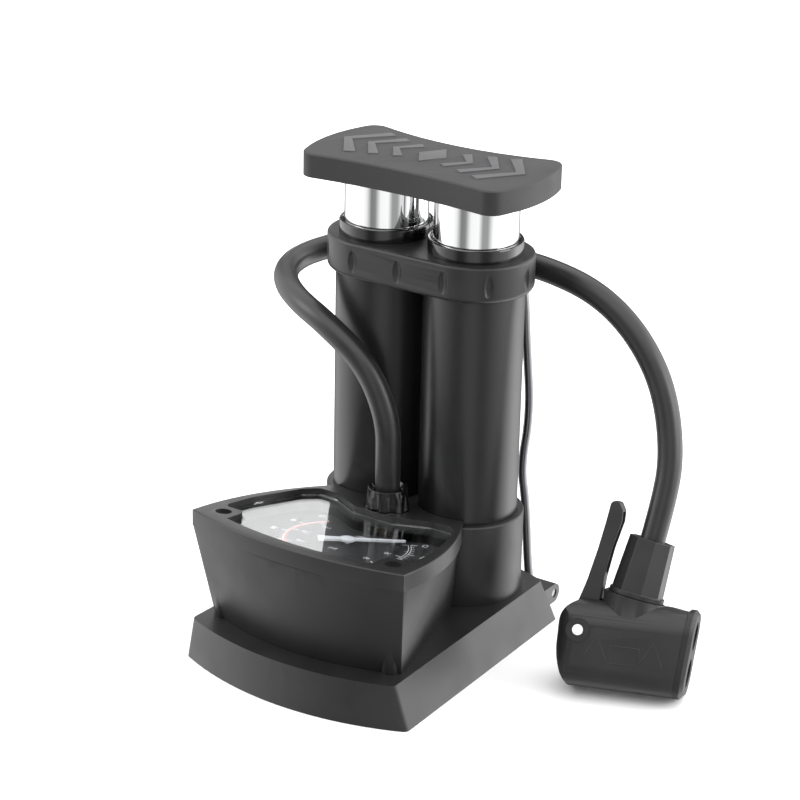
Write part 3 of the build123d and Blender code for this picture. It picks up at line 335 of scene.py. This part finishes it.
FINISHES = {
    "rubber_grip": Moulded("grip_rubber", 0.05, 0.78, 1100.0, 0.00005, 0.1, specular=0.3),
    "black_nylon": Moulded("black_nylon", 0.008, 0.45, 1600.0, 0.000015, specular=0.4),
    "satin_black": Moulded("satin_black_paint", 0.008, 0.33, 2600.0, 0.000004, 0.06, specular=0.5),
    "gloss_black": Moulded("gloss_black_plastic", 0.004, 0.14, 900.0, 0.000001, 0.08, coat=0.4),
    "dark_grey": Moulded("dark_grey_nylon", 0.012, 0.4, 1500.0, 0.000015, specular=0.45),
    "chrome": Plated("chrome_plate", (0.93, 0.935, 0.94), 0.06, depth=0.0000001),
    "steel": Plated("zinc_plated_steel", (0.62, 0.63, 0.64), 0.3),
    "spring_steel": Plated("oiled_spring_steel", (0.2, 0.2, 0.21), 0.28),
    "brass": Plated("turned_brass", (0.78, 0.6, 0.3), 0.3),
    "bronze": Plated("bronze_strip", (0.6, 0.4, 0.22), 0.35),
    "seal_rubber": Moulded("seal_rubber", 0.01, 0.6, 1800.0, 0.00001),
    "hose_rubber": Moulded("hose_rubber", 0.012, 0.36, 1400.0, 0.00001, 0.08, specular=0.5),
    "clear": Clear("clear_polycarbonate"),
    "dial_print": Moulded("dial_black", 0.006, 0.6, 2500.0, 0.000003),
    "needle_white": Moulded("needle_white_paint", 0.8, 0.4, 2500.0, 0.000003, 0.03),
    "white_nylon": Moulded("white_nylon", 0.72, 0.4, 1500.0, 0.00001, 0.04),
    "scale_white": Moulded("scale_white_ink", 0.82, 0.6, 2500.0, 0.000002, 0.03),
    "scale_orange": Moulded("scale_orange_ink", (0.82, 0.09, 0.02), 0.6, 2500.0, 0.000002, 0.05),
    # painted highlight: a lighter copy of the grip rubber for the treadle's rib tops
    "grip_rib_painted_highlight": Moulded("grip_rib_rubber", 0.085, 0.66, 1100.0, 0.00005, 0.1),
    # painted shade: a darker copy of the grip rubber for the treadle's sides, where less light falls
    "treadle_side_painted_shade": Moulded("treadle_side_rubber", 0.014, 0.6, 1100.0, 0.00004, 0.1),
}
_made: dict[str, bpy.types.Material] = {}


def finish(name: str) -> bpy.types.Material:
    """Give the material of a named finish, built the first time it is asked for."""
    if name not in _made:
        _made[name] = FINISHES[name].make()
    return _made[name]


# ------------------------------------------------------------------ mesh helpers


def link_piece(name: str, data: bpy.types.ID) -> Piece:
    """Put mesh or curve data into the scene as an object at the origin."""
    piece = bpy.data.objects.new(name, data)
    bpy.context.scene.collection.objects.link(piece)
    return piece


def settle(piece: Piece) -> None:
    """Work the piece's modifiers into its mesh, and stop if nothing is left of it."""
    bpy.context.view_layer.update()
    graph = bpy.context.evaluated_depsgraph_get()
    mesh = bpy.data.meshes.new_from_object(piece.evaluated_get(graph))
    if not mesh.polygons:
        raise ValueError(f"{piece.name} came out empty")
    piece.modifiers.clear()
    piece.data = mesh


def shade(piece: Piece, angle: float = 35.0) -> None:
    """Shade smooth, with edges sharper than an angle kept crisp."""
    piece.data.shade_smooth()
    piece.data.set_sharp_from_angle(angle=math.radians(angle))


def ease_edges(piece: Piece, width: float, segments: int = 3, angle: float = 32.0) -> None:
    """Round the piece's sharp edges with a live bevel.

    Args:
        piece: mesh piece at the origin.
        width: bevel width in millimetres.
        segments: steps across the bevel.
        angle: least angle between faces that is rounded.
    """
    bevel = piece.modifiers.new("eased_edges", "BEVEL")
    bevel.width = width * MM
    bevel.segments = segments
    bevel.limit_method = "ANGLE"
    bevel.angle_limit = math.radians(angle)
    bevel.harden_normals = True
    bevel.miter_outer = "MITER_ARC"


def dress(piece: Piece, name: str) -> Piece:
    """Give the whole piece one finish."""
    piece.data.materials.clear()
    piece.data.materials.append(finish(name))
    return piece


def stand_for(piece: Piece, *nodes: str, look: str | None = None) -> Piece:
    """Let a piece stand for CAD nodes: its body, its slot and its finish.

    Args:
        piece: the finished piece.
        nodes: the nodes that it replaces; the first names its body and slot.
        look: finish to use in place of the slot's own.

    Returns:
        The piece.
    """
    slot = SLOT_OF_NODE[nodes[0]]
    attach(piece, BODY_OF_NODE[nodes[0]])
    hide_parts(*nodes)
    dress(piece, look or slot)
    LOG.info("%s stands for %s", piece.name, ", ".join(nodes))
    return piece


def add_to(piece: Piece, node: str, look: str) -> Piece:
    """Let a piece that replaces nothing ride with a CAD node, in a finish of its own."""
    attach(piece, BODY_OF_NODE[node])
    dress(piece, look)
    LOG.info("%s rides with %s", piece.name, node)
    return piece


def softened(name: str, node: str, width: float, angle: float = 32.0, segments: int = 3) -> Piece:
    """Copy a CAD solid, join its triangles into whole faces and ease its edges.

    Args:
        name: name of the new piece.
        node: CAD node to copy.
        width: bevel width in millimetres.
        angle: least angle between faces that is rounded.
        segments: steps across the bevel.

    Returns:
        The new piece, with a live bevel.
    """
    mesh = frame["nodes"][node].data.copy()
    cage = bmesh.new()
    cage.from_mesh(mesh)
    bmesh.ops.remove_doubles(cage, verts=cage.verts[:], dist=0.000002)
    bmesh.ops.dissolve_limit(
        cage,
        angle_limit=math.radians(0.4),
        verts=cage.verts[:],
        edges=cage.edges[:],
        use_dissolve_boundaries=False,
    )
    cage.to_mesh(mesh)
    cage.free()
    piece = link_piece(name, mesh)
    shade(piece, angle)
    ease_edges(piece, width, segments, angle)
    return piece


def turned(name: str, profile: Sequence[Point2], centre: Point3 | Matrix, steps: int = 96) -> Piece:
    """Turn a closed profile about Z and put it in place.

    Args:
        name: name of the piece.
        profile: radius and height in millimetres, outer wall first, from top to bottom.
        centre: foot of the axis in millimetres, or a full placing matrix in metres.
        steps: steps round the turn.

    Returns:
        The turned piece, with its place in its mesh.
    """
    mesh = bpy.data.meshes.new(name)
    points = [(radius * MM, 0.0, height * MM) for radius, height in profile]
    mesh.from_pydata(points, [(i, (i + 1) % len(points)) for i in range(len(points))], [])
    piece = link_piece(name, mesh)
    screw = piece.modifiers.new("turn", "SCREW")
    screw.steps = steps
    screw.render_steps = steps
    screw.use_merge_vertices = True
    screw.merge_threshold = 0.000005
    screw.use_smooth_shade = True
    settle(piece)
    place = centre if isinstance(centre, Matrix) else Matrix.Translation(Vector(centre) * MM)
    piece.data.transform(place)
    shade(piece, 30.0)
    return piece


def wire(name: str, points: Sequence[Point3], radius: float, order: int, resolution: int = 12) -> Piece:
    """Lay a round wire or hose along one smooth open spline.

    Args:
        name: name of the piece.
        points: control points in metres.
        radius: radius of the section in metres.
        order: order of the spline.
        resolution: steps along each span.

    Returns:
        The curve piece.
    """
    curve = bpy.data.curves.new(name, "CURVE")
    curve.dimensions = "3D"
    curve.bevel_depth = 1.0
    curve.bevel_resolution = 8
    curve.resolution_u = resolution
    curve.use_fill_caps = True
    spline = curve.splines.new("NURBS")
    spline.points.add(len(points) - 1)
    for slot, point in zip(spline.points, points):
        slot.co = (*point, 1.0)
        slot.radius = radius
    spline.order_u = order
    spline.use_endpoint_u = True
    return link_piece(name, curve)


# ------------------------------------------------------------------ studio


@dataclass
class Studio:
    """Camera, floor, soft lights and the room that polished parts reflect."""

    azimuth: float = 33.75
    elevation: float = 21.74
    roll: float = -1.21
    distance: float = 0.94618
    lens: float = 111.26
    aim: Point3 = (0.0, 0.0, 0.09)
    slide: Point2 = (0.01016, 0.000504)
    brightest: float = 4.0
    overhead: float = 2.2
    stops: tuple[Point2, ...] = (
        (-180, 0.06), (-160, 0.25), (-142, 1.5), (-100, 2.3), (-72, 1.2), (-55, 0.9),
        (-42, 0.22), (-30, 0.28), (-16, 1.0), (4, 1.05), (15, 0.35), (29, 0.35),
        (42, 1.0), (75, 1.8), (109, 4.0), (140, 1.5), (162, 0.25), (180, 0.06),
    )

    def camera(self) -> None:
        """Stand the camera at the product view."""
        turn, tilt, roll = (math.radians(v) for v in (self.azimuth, self.elevation, self.roll))
        right = Vector((math.cos(turn), math.sin(turn), 0.0))
        back = Vector((math.sin(turn) * math.cos(tilt), -math.cos(turn) * math.cos(tilt), math.sin(tilt)))
        up = back.cross(right)
        across = right * math.cos(roll) - up * math.sin(roll)
        over = right * math.sin(roll) + up * math.cos(roll)
        place = Vector(self.aim) - across * self.slide[0] - over * self.slide[1] + back * self.distance
        data = bpy.data.cameras.new("product_view")
        data.sensor_width = 36.0
        data.lens = self.lens
        data.clip_start = 0.01
        data.clip_end = 20.0
        camera = link_piece("product_view", data)
        axes = Matrix((across, over, back)).transposed().to_4x4()
        camera.matrix_world = Matrix.Translation(place) @ axes
        bpy.context.scene.camera = camera

    def lamp(self, name: str, place: Point3, aim: Point3, size: Point2, power: float) -> None:
        """Hang one soft box, unseen by the camera itself."""
        data = bpy.data.lights.new(name, "AREA")
        data.shape = "RECTANGLE"
        data.size, data.size_y = size
        data.energy = power
        lamp = link_piece(name, data)
        heading = (Vector(aim) - Vector(place)).normalized()
        lamp.matrix_world = Matrix.Translation(place) @ heading.to_track_quat("-Z", "Y").to_matrix().to_4x4()
        lamp.visible_camera = False

    def room(self) -> None:
        """Light the room: white behind the subject, with soft boxes and flags round it.

        Each stop is an angle round the subject, from the camera's side towards its right, and the
        brightness seen in that direction. Overhead the room is evenly bright.
        """
        world = bpy.data.worlds.new("white_room")
        bpy.context.scene.world = world
        world.use_nodes = True
        nodes, links = world.node_tree.nodes, world.node_tree.links
        soft = nodes["Background"]
        soft.inputs["Strength"].default_value = self.brightest
        backdrop = nodes.new("ShaderNodeBackground")
        backdrop.inputs["Color"].default_value = (1.0, 1.0, 1.0, 1.0)
        where = nodes.new("ShaderNodeTexCoord")
        turn = math.radians(self.azimuth)
        heading = nodes.new("ShaderNodeMath")
        heading.operation = "ARCTAN2"
        rightwards = (math.cos(turn), math.sin(turn), 0.0)
        forwards = (math.sin(turn), -math.cos(turn), 0.0)
        for index, axis in enumerate((rightwards, forwards)):
            along = nodes.new("ShaderNodeVectorMath")
            along.operation = "DOT_PRODUCT"
            along.inputs[1].default_value = axis
            links.new(where.outputs["Generated"], along.inputs[0])
            links.new(along.outputs["Value"], heading.inputs[index])
        spread = nodes.new("ShaderNodeMapRange")
        spread.inputs["From Min"].default_value = -math.pi
        spread.inputs["From Max"].default_value = math.pi
        ramp = nodes.new("ShaderNodeValToRGB")
        elements = ramp.color_ramp.elements
        for _ in self.stops[2:]:
            elements.new(0.5)
        for element, (angle, tone) in zip(elements, self.stops):
            element.position = (angle + 180.0) / 360.0
            element.color = (*[tone / self.brightest] * 3, 1.0)
        rise = nodes.new("ShaderNodeSeparateXYZ")
        lift = nodes.new("ShaderNodeMapRange")
        lift.interpolation_type = "SMOOTHSTEP"
        lift.inputs["From Min"].default_value = 0.42
        lift.inputs["From Max"].default_value = 0.7
        overhead = nodes.new("ShaderNodeMix")
        overhead.data_type = "RGBA"
        overhead.inputs["B"].default_value = (*[self.overhead / self.brightest] * 3, 1.0)
        path = nodes.new("ShaderNodeLightPath")
        blend = nodes.new("ShaderNodeMixShader")
        links.new(heading.outputs[0], spread.inputs["Value"])
        links.new(spread.outputs["Result"], ramp.inputs["Fac"])
        links.new(where.outputs["Generated"], rise.inputs[0])
        links.new(rise.outputs["Z"], lift.inputs["Value"])
        links.new(lift.outputs["Result"], overhead.inputs["Factor"])
        links.new(ramp.outputs["Color"], overhead.inputs["A"])
        links.new(overhead.outputs["Result"], soft.inputs["Color"])
        links.new(path.outputs["Is Camera Ray"], blend.inputs[0])
        links.new(soft.outputs[0], blend.inputs[1])
        links.new(backdrop.outputs[0], blend.inputs[2])
        links.new(blend.outputs[0], nodes["World Output"].inputs["Surface"])

    def floor(self) -> None:
        """Lay the pale floor."""
        mesh = bpy.data.meshes.new("floor")
        half = 1.6
        mesh.from_pydata(
            [(-half, -half, 0), (half, -half, 0), (half, half, 0), (-half, half, 0)], [], [(0, 1, 2, 3)]
        )
        floor = link_piece("floor", mesh)
        material = blank_material("pale_floor")
        shader = material.node_tree.nodes["Principled BSDF"]
        shader.inputs["Specular IOR Level"].default_value = 0.2
        effect = place_group(material, GRAIN, {"Scale": 220.0, "Cloud Scale": 2.0})
        tint(material, effect.outputs["Cloud"], (0.93, 0.93, 0.93), (0.95, 0.95, 0.95))
        vary(material, effect.outputs["Cloud"], "Roughness", 0.75, 0.85)
        mesh.materials.append(material)
        floor.visible_glossy = False

    def build(self) -> None:
        """Set up the whole studio."""
        self.camera()
        self.room()
        self.floor()
        self.lamp("right_box", (1.1, 0.3, 0.5), (0, 0, 0.06), (0.6, 0.6), 5.0)
        self.lamp("left_box", (-0.9, -0.7, 0.75), (0, 0, 0.08), (0.5, 0.7), 4.0)
        self.lamp("lens_box", (-0.52, 0.62, 0.2), (0, -0.05, 0.05), (0.26, 0.3), 0.5)
        bpy.context.scene.view_settings.view_transform = "Standard"
        LOG.info("studio stands")


# ------------------------------------------------------------------ hose and valve head

HOSE_ROUTE: list[Point3] = [
    (0.0, -0.0255, 0.057),
    (0.0, -0.0255, 0.072),
    (0.0, -0.026, 0.090),
    (-0.009, -0.0273, 0.110),
    (-0.027, -0.028, 0.1225),
    (-0.046, -0.0225, 0.1275),
    (-0.0615, -0.0095, 0.1295),
    (-0.068, 0.007, 0.131),
    (-0.062, 0.0225, 0.1335),
    (-0.048, 0.031, 0.137),
    (-0.031, 0.0315, 0.1405),
    (-0.014, 0.028, 0.1425),
    (0.014, 0.028, 0.1425),
    (0.0352, 0.028, 0.1421),
    (0.0573, 0.0278, 0.1371),
    (0.0748, 0.0272, 0.1252),
    (0.0882, 0.0255, 0.1072),
    (0.096, 0.020, 0.084),
    (0.0973, 0.0125, 0.0667),
]


@dataclass
class ValveHead:
    """Dual valve head: body, end cap, hose collar, lever and cheek relief, in its own tilted frame."""

    origin: Point3 = (101.43, -14.0, 1.98)
    yaw: float = 20.0
    roll: float = 22.0
    half_width: float = 12.5
    collar_foot: Point2 = (-1.44, 32.3)
    collar_lean: float = 10.0
    collar_length: float = 25.0
    socket_depth: float = 3.0
    along: Vector = field(init=False)
    side: Vector = field(init=False)
    up: Vector = field(init=False)

    def __post_init__(self) -> None:
        """Work out the head's own directions."""
        yaw, roll = math.radians(self.yaw), math.radians(self.roll)
        self.along = Vector((math.cos(yaw), math.sin(yaw), 0.0))
        self.side = Vector(
            (math.sin(yaw) * math.cos(roll), -math.cos(yaw) * math.cos(roll), math.sin(roll))
        )
        self.up = self.side.cross(self.along)

    def at(self, s: float, h: float, w: float = 0.0) -> Vector:
        """Give the point at s along, h up and w towards the near cheek, in metres."""
        return (Vector(self.origin) + self.along * s + self.up * h + self.side * w) * MM

    def collar_axis(self) -> Vector:
        """Give the direction in which the hose leaves the collar."""
        lean = math.radians(self.collar_lean)
        return self.along * math.sin(lean) + self.up * math.cos(lean)

    def hose_end(self) -> Point3:
        """Give the end of the hose, seated in the collar."""
        reach = (self.collar_length - self.socket_depth) * MM
        return tuple(self.at(*self.collar_foot) + self.collar_axis() * reach)

    def relief(self) -> Piece:
        """Raise the thin outline pattern on the near cheek."""
        lines = (
            ((-17.2, 10.7), (-12.0, 19.9), (-8.2, 11.6)),
            ((-7.3, 10.7), (-6.7, 17.2), (3.8, 17.3), (3.5, 11.0), (-7.3, 10.7)),
            ((4.0, 11.4), (8.9, 20.0), (12.8, 11.1)),
        )
        curve = bpy.data.curves.new("head_relief", "CURVE")
        curve.dimensions = "3D"
        curve.bevel_depth = 1.0
        curve.bevel_resolution = 2
        for line in lines:
            spline = curve.splines.new("POLY")
            spline.points.add(len(line) - 1)
            for slot, (s, h) in zip(spline.points, line):
                slot.co = (*self.at(s, h, self.half_width - 0.12), 1.0)
                slot.radius = 0.28 * MM
        return add_to(link_piece("head_relief", curve), "head_body", "dark_grey")

    def build(self) -> list[Piece]:
        """Build and dress the head; gives back its pieces."""
        pieces = [
            stand_for(softened("valve_head_body", "head_body", 0.5), "head_body"),
            stand_for(softened("valve_head_cap", "head_end_cap", 0.4), "head_end_cap"),
            stand_for(softened("valve_head_collar", "hose_collar", 0.35, 25.0), "hose_collar"),
            stand_for(softened("valve_head_lever", "head_lever", 0.7), "head_lever"),
            self.relief(),
        ]
        LOG.info("valve head has %d pieces", len(pieces))
        return pieces


@dataclass
class HoseLine:
    """The hose from the base to the valve head, with its nut."""

    head: ValveHead
    diameter: float = 9.5
    length: float = 0.37

    def build(self, on_it: Sequence[Piece]) -> None:
        """Args:
            on_it: the pieces of the valve head; not used.
        """
        hose = wire("pump_hose", [*HOSE_ROUTE, self.head.hose_end()], self.diameter / 2 * MM, 3)
        stand_for(hose, "hose")
        line = hose.data.copy()
        line.bevel_depth = 0.0
        probe = link_piece("hose_probe", line)
        path = bpy.data.meshes.new_from_object(probe)
        bpy.data.objects.remove(probe)
        stand_for(softened("hose_gland_nut", "hose_nut", 0.35, 28.0), "hose_nut")


# ------------------------------------------------------------------ barrels, tubes and band


@dataclass
class BarrelPair:
    """The two barrels with their collars, guide rings, chrome tubes and the band that ties them."""

    centre: float = 20.0
    barrel_radius: float = 19.0
    bore_radius: float = 17.5
    barrel_bottom: float = 22.1
    barrel_top: float = 149.8
    tube_radius: float = 16.0
    tube_bottom: float = 74.0
    tube_top: float = 182.0
    ring_radius: float = 17.9
    ring_inner: float = 16.07
    ring_plug: float = 17.4

    def barrel(self, side: Side) -> None:
        """Draw one barrel."""
        outer, bore = self.barrel_radius, self.bore_radius
        profile = [
            (bore + 0.4, self.barrel_top),
            (outer - 0.4, self.barrel_top),
            (outer, self.barrel_top - 0.5),
            (outer, self.barrel_bottom + 0.5),
            (outer - 0.4, self.barrel_bottom),
            (bore, self.barrel_bottom),
            (bore, self.barrel_top - 0.4),
        ]
        name = side.name.lower()
        stand_for(turned(f"drawn_barrel_{name}", profile, (side.value * self.centre, 0, 0)), f"barrel_{name}")

    def tube(self, side: Side) -> None:
        """Draw one chrome piston tube."""
        outer, inner = self.tube_radius, self.tube_radius - 1.2
        profile = [
            (inner, self.tube_top),
            (outer, self.tube_top),
            (outer, self.tube_bottom + 0.4),
            (outer - 0.4, self.tube_bottom),
            (inner, self.tube_bottom),
        ]
        name = side.name.lower()
        tube = turned(f"chrome_tube_{name}", profile, (side.value * self.centre, 0, 0), 128)
        stand_for(tube, f"piston_tube_{name}")

    def ring(self, side: Side) -> None:
        """Turn one guide ring, with a rounded lip that the tube runs through."""
        lip, inner = self.ring_radius, self.ring_inner
        profile = [
            (inner + 0.5, 159.0),
            (lip - 0.7, 159.0),
            (lip - 0.2, 158.8),
            (lip, 158.3),
            (lip, 154.1),
            (self.ring_plug, 153.9),
            (self.ring_plug, 134.0),
            (inner, 134.0),
            (inner, 158.5),
        ]
        name = side.name.lower()
        ring = turned(f"slide_ring_{name}", profile, (side.value * self.centre, 0, 0), 128)
        stand_for(ring, f"guide_ring_{name}")

    def build(self) -> None:
        """Build both sides and the parts that join them."""
        for side in Side:
            self.barrel(side)
            self.tube(side)
            self.ring(side)
        stand_for(softened("barrel_band", "top_band", 0.4, 35.0), "top_band")
        stand_for(softened("barrel_feet", "barrel_collars", 0.5, 35.0), "barrel_collars")


# ------------------------------------------------------------------ treadle


@dataclass
class Treadle:
    """The rubber-topped treadle and its raised grip pattern."""

    top: float = 186.2
    # depth below the top where the painted shade on the treadle's sides begins
    edge_drop: float = 0.75
    # height above the top where the painted highlight on the rib tops begins
    rib_floor: float = 0.1

    def cover(self) -> None:
        """Make the rubber cover, with painted shade down its sides and a painted highlight on its rib tops.
        """
        cover = softened("treadle_cover", "pedal_cover", 0.18, 40.0, 2)
        stand_for(cover, "pedal_cover")
        # darker copy of the rubber for the sides: painted shade
        cover.data.materials.append(finish("treadle_side_painted_shade"))
        # lighter copy of the rubber for the rib tops: painted highlight
        cover.data.materials.append(finish("grip_rib_painted_highlight"))
        for polygon in cover.data.polygons:
            height = polygon.center.z / MM
            if height < self.top - self.edge_drop:
                polygon.material_index = 1
            elif height > self.top + self.rib_floor:
                polygon.material_index = 2

    def build(self) -> None:
        """Build the treadle."""
        self.cover()


# ------------------------------------------------------------------ base and gauge


@dataclass
class Dial:
    """Printed scales of the pressure gauge, drawn in the dial's own plane.

    Attributes:
        centre: needle axis on the dial face, in millimetres.
        slope: lean of the dial towards the barrels, in degrees.
        zero: angle of the zero mark.
        sweep: angle from zero to full scale, clockwise from above.
    """

    centre: Point3 = (0.0, -51.868, 47.569)
    slope: float = 7.47
    zero: float = 41.0
    sweep: float = 259.0
    full_bar: float = 10.0
    full_psi: float = 145.0
    arc_radius: float = 24.0
    lift: float = 0.05
    faces: dict[str, list[list[Point2]]] = field(default_factory=dict)

    def place(self) -> Matrix:
        """Give the matrix from the dial's plane to the frame."""
        slope = math.radians(self.slope)
        across = Vector((1, 0, 0))
        normal = Vector((0, math.sin(slope), math.cos(slope)))
        up = normal.cross(across)
        axes = Matrix((across, up, normal)).transposed().to_4x4()
        return Matrix.Translation((Vector(self.centre) + normal * self.lift) * MM) @ axes

    def angle(self, bar: float) -> float:
        """Give the dial angle of a pressure in bar, in radians."""
        return math.radians(self.zero - self.sweep * bar / self.full_bar)

    def tick(self, ink: str, bar: float, inner: float, outer: float, width: float) -> None:
        """Draw one radial mark."""
        turn = self.angle(bar)
        along, across = (math.cos(turn), math.sin(turn)), (-math.sin(turn), math.cos(turn))
        corners = []
        half = width / 2
        for radius, shift in ((inner, -half), (outer, -half), (outer, half), (inner, half)):
            corners.append((along[0] * radius + across[0] * shift, along[1] * radius + across[1] * shift))
        self.faces.setdefault(ink, []).append(corners)

    def arc(self, ink: str, start: float, end: float, inner: float, outer: float) -> None:
        """Draw one band between two pressures."""
        steps = max(4, int(abs(end - start) * 10))
        for i in range(steps):
            turns = [self.angle(start + (end - start) * (i + k) / steps) for k in (0, 1)]
            corners = [(math.cos(turns[0]) * r, math.sin(turns[0]) * r) for r in (inner, outer)]
            corners += [(math.cos(turns[1]) * r, math.sin(turns[1]) * r) for r in (outer, inner)]
            self.faces.setdefault(ink, []).append(corners)

    def figure(self, text: str, at: Point2, size: float) -> Piece:
        """Set one figure, upright for a reader behind the pump."""
        data = bpy.data.curves.new(f"figure_{text}", "FONT")
        data.body = text
        data.size = size * MM
        data.align_x = "CENTER"
        data.align_y = "CENTER"
        words = link_piece(f"figure_{text}", data)
        bpy.context.view_layer.update()
        mesh = bpy.data.meshes.new_from_object(words)
        bpy.data.objects.remove(words)
        mesh.transform(Matrix.Translation((at[0] * MM, at[1] * MM, 0)) @ Matrix.Rotation(math.pi, 4, "Z"))
        mesh.transform(self.place())
        return link_piece(f"dial_figure_{text.replace('.', '_')}", mesh)

    def polar(self, bar: float, radius: float) -> Point2:
        """Give the place on the dial at a pressure and radius."""
        turn = self.angle(bar)
        return math.cos(turn) * radius, math.sin(turn) * radius

    def build(self) -> None:
        """Draw the scales and set the figures."""
        radius = self.arc_radius
        for tenth in range(0, 101, 2):
            bar = tenth / 10
            major = tenth % 10 == 0
            self.tick("scale_white", bar, radius, radius + (2.6 if major else 1.5), 0.55 if major else 0.28)
        for psi in range(0, 141, 10):
            bar = psi / self.full_psi * self.full_bar
            major = psi % 20 == 0
            reach, weight = (2.4, 0.45) if major else (1.4, 0.25)
            self.tick("scale_white", bar, radius - reach - 0.9, radius - 0.9, weight)
        self.arc("scale_white", 0, self.full_bar, radius - 0.15, radius + 0.15)
        self.arc("scale_white", 0, 2.0, radius - 1.1, radius - 0.8)
        self.arc("scale_orange", 5.5, self.full_bar, radius - 1.0, radius - 0.25)
        figures = []
        for bar in range(0, 11):
            figures.append(self.figure(str(bar), self.polar(bar, radius + 5.6), 4.6))
        for psi in range(20, 141, 20):
            at = self.polar(psi / self.full_psi * self.full_bar, radius - 6.6)
            figures.append(self.figure(str(psi), at, 2.7))
        figures.append(self.figure("bar", (0.0, 9.0), 3.4))
        figures.append(self.figure("psi", (0.0, -9.6), 3.0))
        for index, piece in enumerate(figures):
            piece.name = f"dial_figure_{index:02d}"
            add_to(piece, "gauge_dial", "scale_white")
        for ink, faces in self.faces.items():
            points = [(x * MM, y * MM, 0.0) for face in faces for x, y in face]
            mesh = bpy.data.meshes.new(f"dial_marks_{ink}")
            mesh.from_pydata(points, [], [tuple(range(4 * i, 4 * i + 4)) for i in range(len(faces))])
            mesh.transform(self.place())
            add_to(link_piece(f"dial_marks_{ink}", mesh), "gauge_dial", ink)


@dataclass
class BaseAndGauge:
    """The base, the gauge housing on it, and the lid with its lens."""

    dial: Dial = field(default_factory=Dial)

    def build(self) -> None:
        """Build the base and everything fixed on it."""
        stand_for(softened("base_moulding", "base_shell", 0.7, 25.0), "base_shell")
        stand_for(softened("gauge_case", "gauge_housing", 0.5, 30.0), "gauge_housing")
        stand_for(softened("gauge_bezel", "gauge_lid", 0.45, 30.0), "gauge_lid")
        stand_for(softened("gauge_window", "gauge_lens", 0.3, 30.0), "gauge_lens")
        self.dial.build()


@dataclass
class LockingBail:
    """Bent wire that locks the treadle down."""

    radius: float = 1.7
    leg: tuple[Point3, ...] = (
        (42.6, 30, 8),
        (34.5, 30, 8),
        (31.0, 30, 8.3),
        (26.6, 32.6, 43),
        (23.2, 33.6, 56),
        (25.4, 35.4, 79.5),
        (21.3, 37.2, 107),
        (18.2, 39.6, 128),
        (12.5, 40.8, 145),
        (10.0, 33.5, 168),
        (9.0, 26.0, 181),
    )

    def build(self) -> None:
        """Bend the wire."""
        right = [(x * MM, y * MM, z * MM) for x, y, z in self.leg]
        left = [(-x, y, z) for x, y, z in reversed(right)]
        stand_for(wire("bail_wire", [*right, *left], self.radius * MM, 3), "locking_bail")


def dress_carried_nodes() -> None:
    """Give every CAD node that still shows its own finish."""
    for node, piece in frame["nodes"].items():
        dress(piece, SLOT_OF_NODE[node])
        LOG.info("%s keeps its shape", node)


def write_sizes() -> None:
    """Bring the view layer up to date."""
    bpy.context.view_layer.update()


def main() -> None:
    """Build the pump, piece by piece."""
    logging.basicConfig(level=logging.INFO, format="%(name)s: %(message)s")
    Studio().build()
    dress_carried_nodes()
    head = ValveHead()
    HoseLine(head).build(head.build())
    BarrelPair().build()
    Treadle().build()
    BaseAndGauge().build()
    LockingBail().build()
    write_sizes()


if __name__ == "__main__":
    main()
